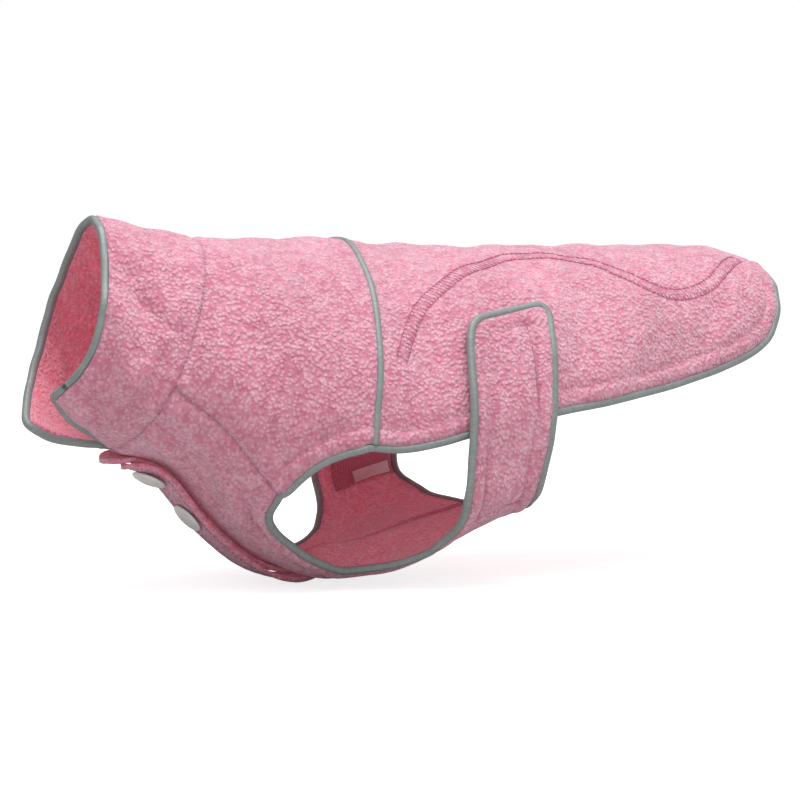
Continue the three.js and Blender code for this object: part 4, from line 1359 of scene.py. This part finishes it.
@dataclass(frozen=True)
class StrapArea:
    """A patch on a strap, as its places on the coat."""

    from_at: float
    to_at: float
    from_turn: float
    to_turn: float


TAPE_AREA = StrapArea(113.5, 137.5, 0.302, 0.66)
LABEL_AREA = StrapArea(120.5, 136, 0.605, 0.662)


def rectangle_places(area: StrapArea, side: int, inset: float = 0.0) -> Array:
    """Places round a patch, a small distance inside its edge."""
    turn_inset = inset / HALF_GIRTH
    low, high = area.from_at + inset, area.to_at - inset
    start, end = side * (area.from_turn + turn_inset), side * (area.to_turn - turn_inset)
    corners = np.array([(low, start), (high, start), (high, end), (low, end), (low, start)])
    return resample(corners * np.array([1, HALF_GIRTH]), 420) / np.array([1, HALF_GIRTH])


@dataclass
class StrapPatch:
    """A flat patch on the inner face of a strap: hook tape or the blank label."""

    finishes: Finishes
    side: int
    area: StrapArea
    thickness: float
    below: float
    name: str
    node: str
    slot: str
    flat: tuple[float, float]

    def build(self) -> None:
        """Build the patch at its depth under the middle of the strap."""
        at = np.linspace(self.area.from_at, self.area.to_at, 24)
        turn = self.side * np.linspace(self.area.from_turn, self.area.to_turn, 72)
        places = np.stack(np.meshgrid(at, turn, indexing="ij"), axis=-1)
        ids = np.arange(24 * 72).reshape(24, 72)
        surface = FIGURE.cloth(lambda a, t: strap_lift(a, t) - self.below)
        sheet = ClothSheet(surface, places.reshape(-1, 2), grid_faces(ids))
        finish = self.finishes.label if self.slot == "label" else self.finishes.hooks
        patch = sheet.wall([], self.thickness, 0.0).to_object(self.name, finish)
        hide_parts(self.node)
        LOG.info("%s flat area %.6f", self.name, sheet.area())
        sheet.area()


@dataclass
class HemBinding:
    """Grey tape along the top of both leg openings, the hem and the tail."""

    finishes: Finishes
    edges: BodyEdges

    def build(self) -> None:
        """Build the tape as one run."""
        run = [self.edges.yoke[-1], self.edges.hem[-1], tuple(p[::-1] for p in self.edges.hem[1]),
               tuple(p[::-1] for p in self.edges.yoke[1])]
        points = np.vstack([part[0] for part in run])
        normals = np.vstack([part[1] for part in run])
        binding = Binding().along(points, normals, 1).to_object("hem_tape", self.finishes.binding)
        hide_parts("hem_binding")


def turn_across(at: Array, across: Array) -> Array:
    """Turn of the place that lies a distance across the centre line underneath."""
    half = FIGURE.sections.read("half", at)
    lower = FIGURE.sections.read("lower", at)
    angle = np.arcsin((np.abs(across) / half) ** (lower / 2))
    return np.where(across < 0, -1, 1) * (1 - angle / np.pi)


@dataclass
class FrontLap:
    """One lap of the front fastening: a band down the chest with a rounded upper end."""

    finishes: Finishes
    name: str
    node: str
    start: float
    end: float
    low: float
    high: float
    lift: float
    flat: tuple[float, float]
    rows: int = 74
    columns: int = 20

    def surface(self) -> Surface:
        """Middle surface of the lap, with its upper end bent away from the chest."""
        return FIGURE.cloth(lambda at, turn: self.lift + LOBE_DROOP * np.maximum(0, LOBE_BACK - at),
                            FIGURE.body)

    def places(self, inset: float = 0.0) -> Array:
        """Grid of places over the lap, drawn in by a distance from its edge."""
        radius = (self.high - self.low) / 2 - inset
        centre = (self.high + self.low) / 2
        start = self.start + inset
        bow = np.linspace(0.06, np.pi / 2, 16)
        at = np.concatenate([start + radius * (1 - np.cos(bow)),
                             np.linspace(start + radius, self.end - inset, self.rows - 15)[1:]])
        reach = np.concatenate([np.sin(bow), np.ones(len(at) - 16)])
        across = centre + radius * reach[:, None] * np.linspace(-1, 1, self.columns + 1)[None]
        at = np.broadcast_to(at[:, None], across.shape)
        return np.stack([at, turn_across(at, across)], axis=-1)

    def build(self) -> None:
        """Build the lap and the stitch line inside its edge."""
        places = self.places()
        ids = np.arange(places.shape[0] * places.shape[1]).reshape(places.shape[:2])
        sheet = ClothSheet(self.surface(), places.reshape(-1, 2), grid_faces(ids))
        inner = self.places(3.2)
        outline = np.vstack([inner[::-1, 0], inner[0, 1:-1], inner[:, -1]])
        line, normals = line_on(self.surface(), outline, 0)
        lap = sheet.wall([(Relief.STITCH, line)]).to_object(self.name, self.finishes.fleece)
        thread = Seamwork(self.finishes).sew(
            f"{self.name}_thread", [stitch_thread(line + normals * (FLEECE / 2 - 0.5), normals, 2.4, 0.24)])
        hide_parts(self.node)
        LOG.info("%s flat area %.6f", self.name, sheet.area())
        sheet.area()


@dataclass
class SnapCap:
    """Low plastic dome of a snap, with a rolled edge and a shallow step round its crown."""

    finishes: Finishes
    name: str
    node: str
    at: float
    across: float
    rise: float
    radius: float = 7.8
    height: float = 2.6
    segments: int = 72

    def build(self) -> None:
        """Turn the profile round the cap's axis and seat it on the lap."""
        rows = curve_through(np.array([
            (0.05, 0), (6.2, 0), (7.2, 0.1), (7.7, 0.4), (7.8, 0.8), (7.55, 1.25), (6.9, 1.6), (6.1, 1.88),
            (5.4, 2.02), (4.9, 2.2), (3.6, 2.44), (2, 2.56), (0.05, 2.6)], float), 6)
        angle = 2 * np.pi * np.arange(self.segments) / self.segments
        seat = 2 * LAP_STEP + FLEECE / 2 + self.rise
        surface = FIGURE.cloth(lambda a, t: np.full(np.shape(a), seat), FIGURE.body)
        at = np.array([self.at])
        turn = turn_across(at, np.array([self.across]))
        middle, axis = surface(at, turn)[0], FIGURE.normal(surface, at, turn)[0]
        first = unit(np.cross(axis, np.array([0.0, 1.0, 0.0])))
        second = np.cross(axis, first)
        ring = np.cos(angle)[:, None] * first + np.sin(angle)[:, None] * second
        points = middle + rows[:, None, :1] * ring[None] + rows[:, None, 1:] * axis
        ids = np.arange(points.shape[0] * self.segments).reshape(-1, self.segments)
        closed = np.concatenate([ids, ids[:, :1]], axis=1)
        flat_points = points.reshape(-1, 3)
        outward = flat_points - (middle + axis * self.height * 0.4)
        plain = grid_faces(closed)
        quads = face_towards(flat_points, plain, outward)
        turned = not np.array_equal(plain, quads)
        ends = [ids[0].tolist(), ids[-1].tolist()[::-1]]
        caps = [cap[::-1] for cap in ends] if turned else ends
        uv = flat_points[:, :2] * 1.0
        cap = MeshParts(flat_points, quads, uv, {}, caps).to_object(self.name, self.finishes.plastic)
        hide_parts(self.node)


@dataclass
class Studio:
    """Pale floor, soft white lights and the camera at the photograph's angle."""

    azimuth: float = -28.0
    elevation: float = 4.0
    distance: float = 1.5
    lens: float = 146.7
    target: tuple[float, float, float] = (0.1045, 0.0, -0.0739)

    def build(self, floor_z: float) -> None:
        """Set up the stage.

        Args:
            floor_z: height of the floor.
        """
        scene = bpy.context.scene
        azimuth, elevation = np.radians(self.azimuth), np.radians(self.elevation)
        back = Vector((float(np.sin(azimuth) * np.cos(elevation)),
                       float(-np.cos(azimuth) * np.cos(elevation)), float(np.sin(elevation))))
        data = bpy.data.cameras.new("camera")
        data.sensor_width = 36
        data.lens = self.lens
        data.clip_start, data.clip_end = 0.05, 60
        camera = bpy.data.objects.new("camera", data)
        camera.location = Vector(self.target) + back * self.distance
        camera.rotation_euler = (-back).to_track_quat("-Z", "Y").to_euler()
        scene.collection.objects.link(camera)
        scene.camera = camera
        self._light("top_light", (0.05, -0.25, 1.25), (0.1, 0, -0.05), 1.1, 22.0)
        self._light("front_light", (-0.9, -1.5, 0.55), (0.1, 0, -0.05), 1.0, 3.2)
        self._light("tail_light", (1.5, -0.9, 0.4), (0.1, 0, -0.05), 0.9, 1.2)
        self._world()
        self._floor(floor_z)

    @staticmethod
    def _light(name: str, place: tuple[float, float, float], aim: tuple[float, float, float],
               size: float, power: float) -> None:
        """Add a square soft light that faces a point."""
        data = bpy.data.lights.new(name, "AREA")
        data.shape, data.size, data.energy = "SQUARE", size, power
        light = bpy.data.objects.new(name, data)
        light.location = place
        light.rotation_euler = (Vector(aim) - Vector(place)).to_track_quat("-Z", "Y").to_euler()
        bpy.context.scene.collection.objects.link(light)

    @staticmethod
    def _world() -> None:
        """Even white surroundings that light the coat less than they show."""
        world = bpy.data.worlds.new("studio")
        world.use_nodes = True
        make = NodeBuilder(world.node_tree)
        background = world.node_tree.nodes["Background"]
        background.inputs["Color"].default_value = (1, 1, 1, 1)
        seen = make.add("ShaderNodeLightPath")
        strength = make.add("ShaderNodeMapRange", {}, Value=seen.outputs["Is Camera Ray"], To_Min=0.4,
                            To_Max=1.0)
        make.tree.links.new(strength.outputs[0], background.inputs["Strength"])
        bpy.context.scene.world = world
        bpy.context.scene.view_settings.view_transform = "Standard"

    @staticmethod
    def _floor(z: float) -> None:
        """Wide pale floor."""
        mesh = bpy.data.meshes.new("studio_floor")
        mesh.from_pydata([(-20, -20, z), (20, -20, z), (20, 20, z), (-20, 20, z)], [], [(0, 1, 2, 3)])
        material, make, shader = new_material("pale_floor")
        seen = make.add("ShaderNodeLightPath")
        glow = make.add("ShaderNodeMapRange", {}, Value=seen.outputs["Is Camera Ray"], To_Max=0.78)
        shader.inputs["Emission Color"].default_value = (1, 1, 1, 1)
        make.tree.links.new(glow.outputs[0], shader.inputs["Emission Strength"])
        shader.inputs["Base Color"].default_value = (0.6, 0.6, 0.6, 1)
        shader.inputs["Roughness"].default_value = 0.9
        mesh.materials.append(material)
        floor = bpy.data.objects.new("studio_floor", mesh)
        bpy.context.scene.collection.objects.link(floor)
        floor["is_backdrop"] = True


def main() -> None:
    """Load the frame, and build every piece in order."""
    logging.basicConfig(level=logging.INFO, format="%(name)s %(message)s")
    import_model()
    solid_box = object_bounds()
    finishes = Finishes()
    edges = BodyEdges()
    Studio().build(float(solid_box[0][2]) - 0.0012)
    Collar(finishes).build()
    Yoke(finishes, edges).build()
    BackPanel(finishes, edges).build()
    ShoulderPiping(finishes, edges).build()
    for side in (-1, 1):
        ChestHalf(finishes, side).build()
    HemBinding(finishes, edges).build()
    for side, name in ((-1, "near"), (1, "far")):
        StrapPatch(finishes, side, TAPE_AREA, 1.0, FLEECE / 2 + 0.8, f"hook_tape_patch_{name}",
                   f"hook_tape_{name}", "hook_tape", (0.0245, 0.0945)).build()
    StrapPatch(finishes, 1, LABEL_AREA, 0.6, FLEECE / 2 + 1.9, "blank_label", "care_label", "label",
               (0.0155, 0.01)).build()
    FrontLap(finishes, "underlap_cloth", "front_underlap", -1, 80, -7, 14, LAP_STEP, (0.022, 0.12)).build()
    FrontLap(finishes, "overlap_cloth", "front_overlap", 6, 83, -13, 7, 2 * LAP_STEP, (0.021, 0.116)).build()
    SnapCap(finishes, "snap_dome_upper", "snap_cap_upper", 18.5, -3.5, 1.05).build()
    SnapCap(finishes, "snap_dome_lower", "snap_cap_lower", 37, -3.5, 0.6).build()


if __name__ == "__main__":
    main()
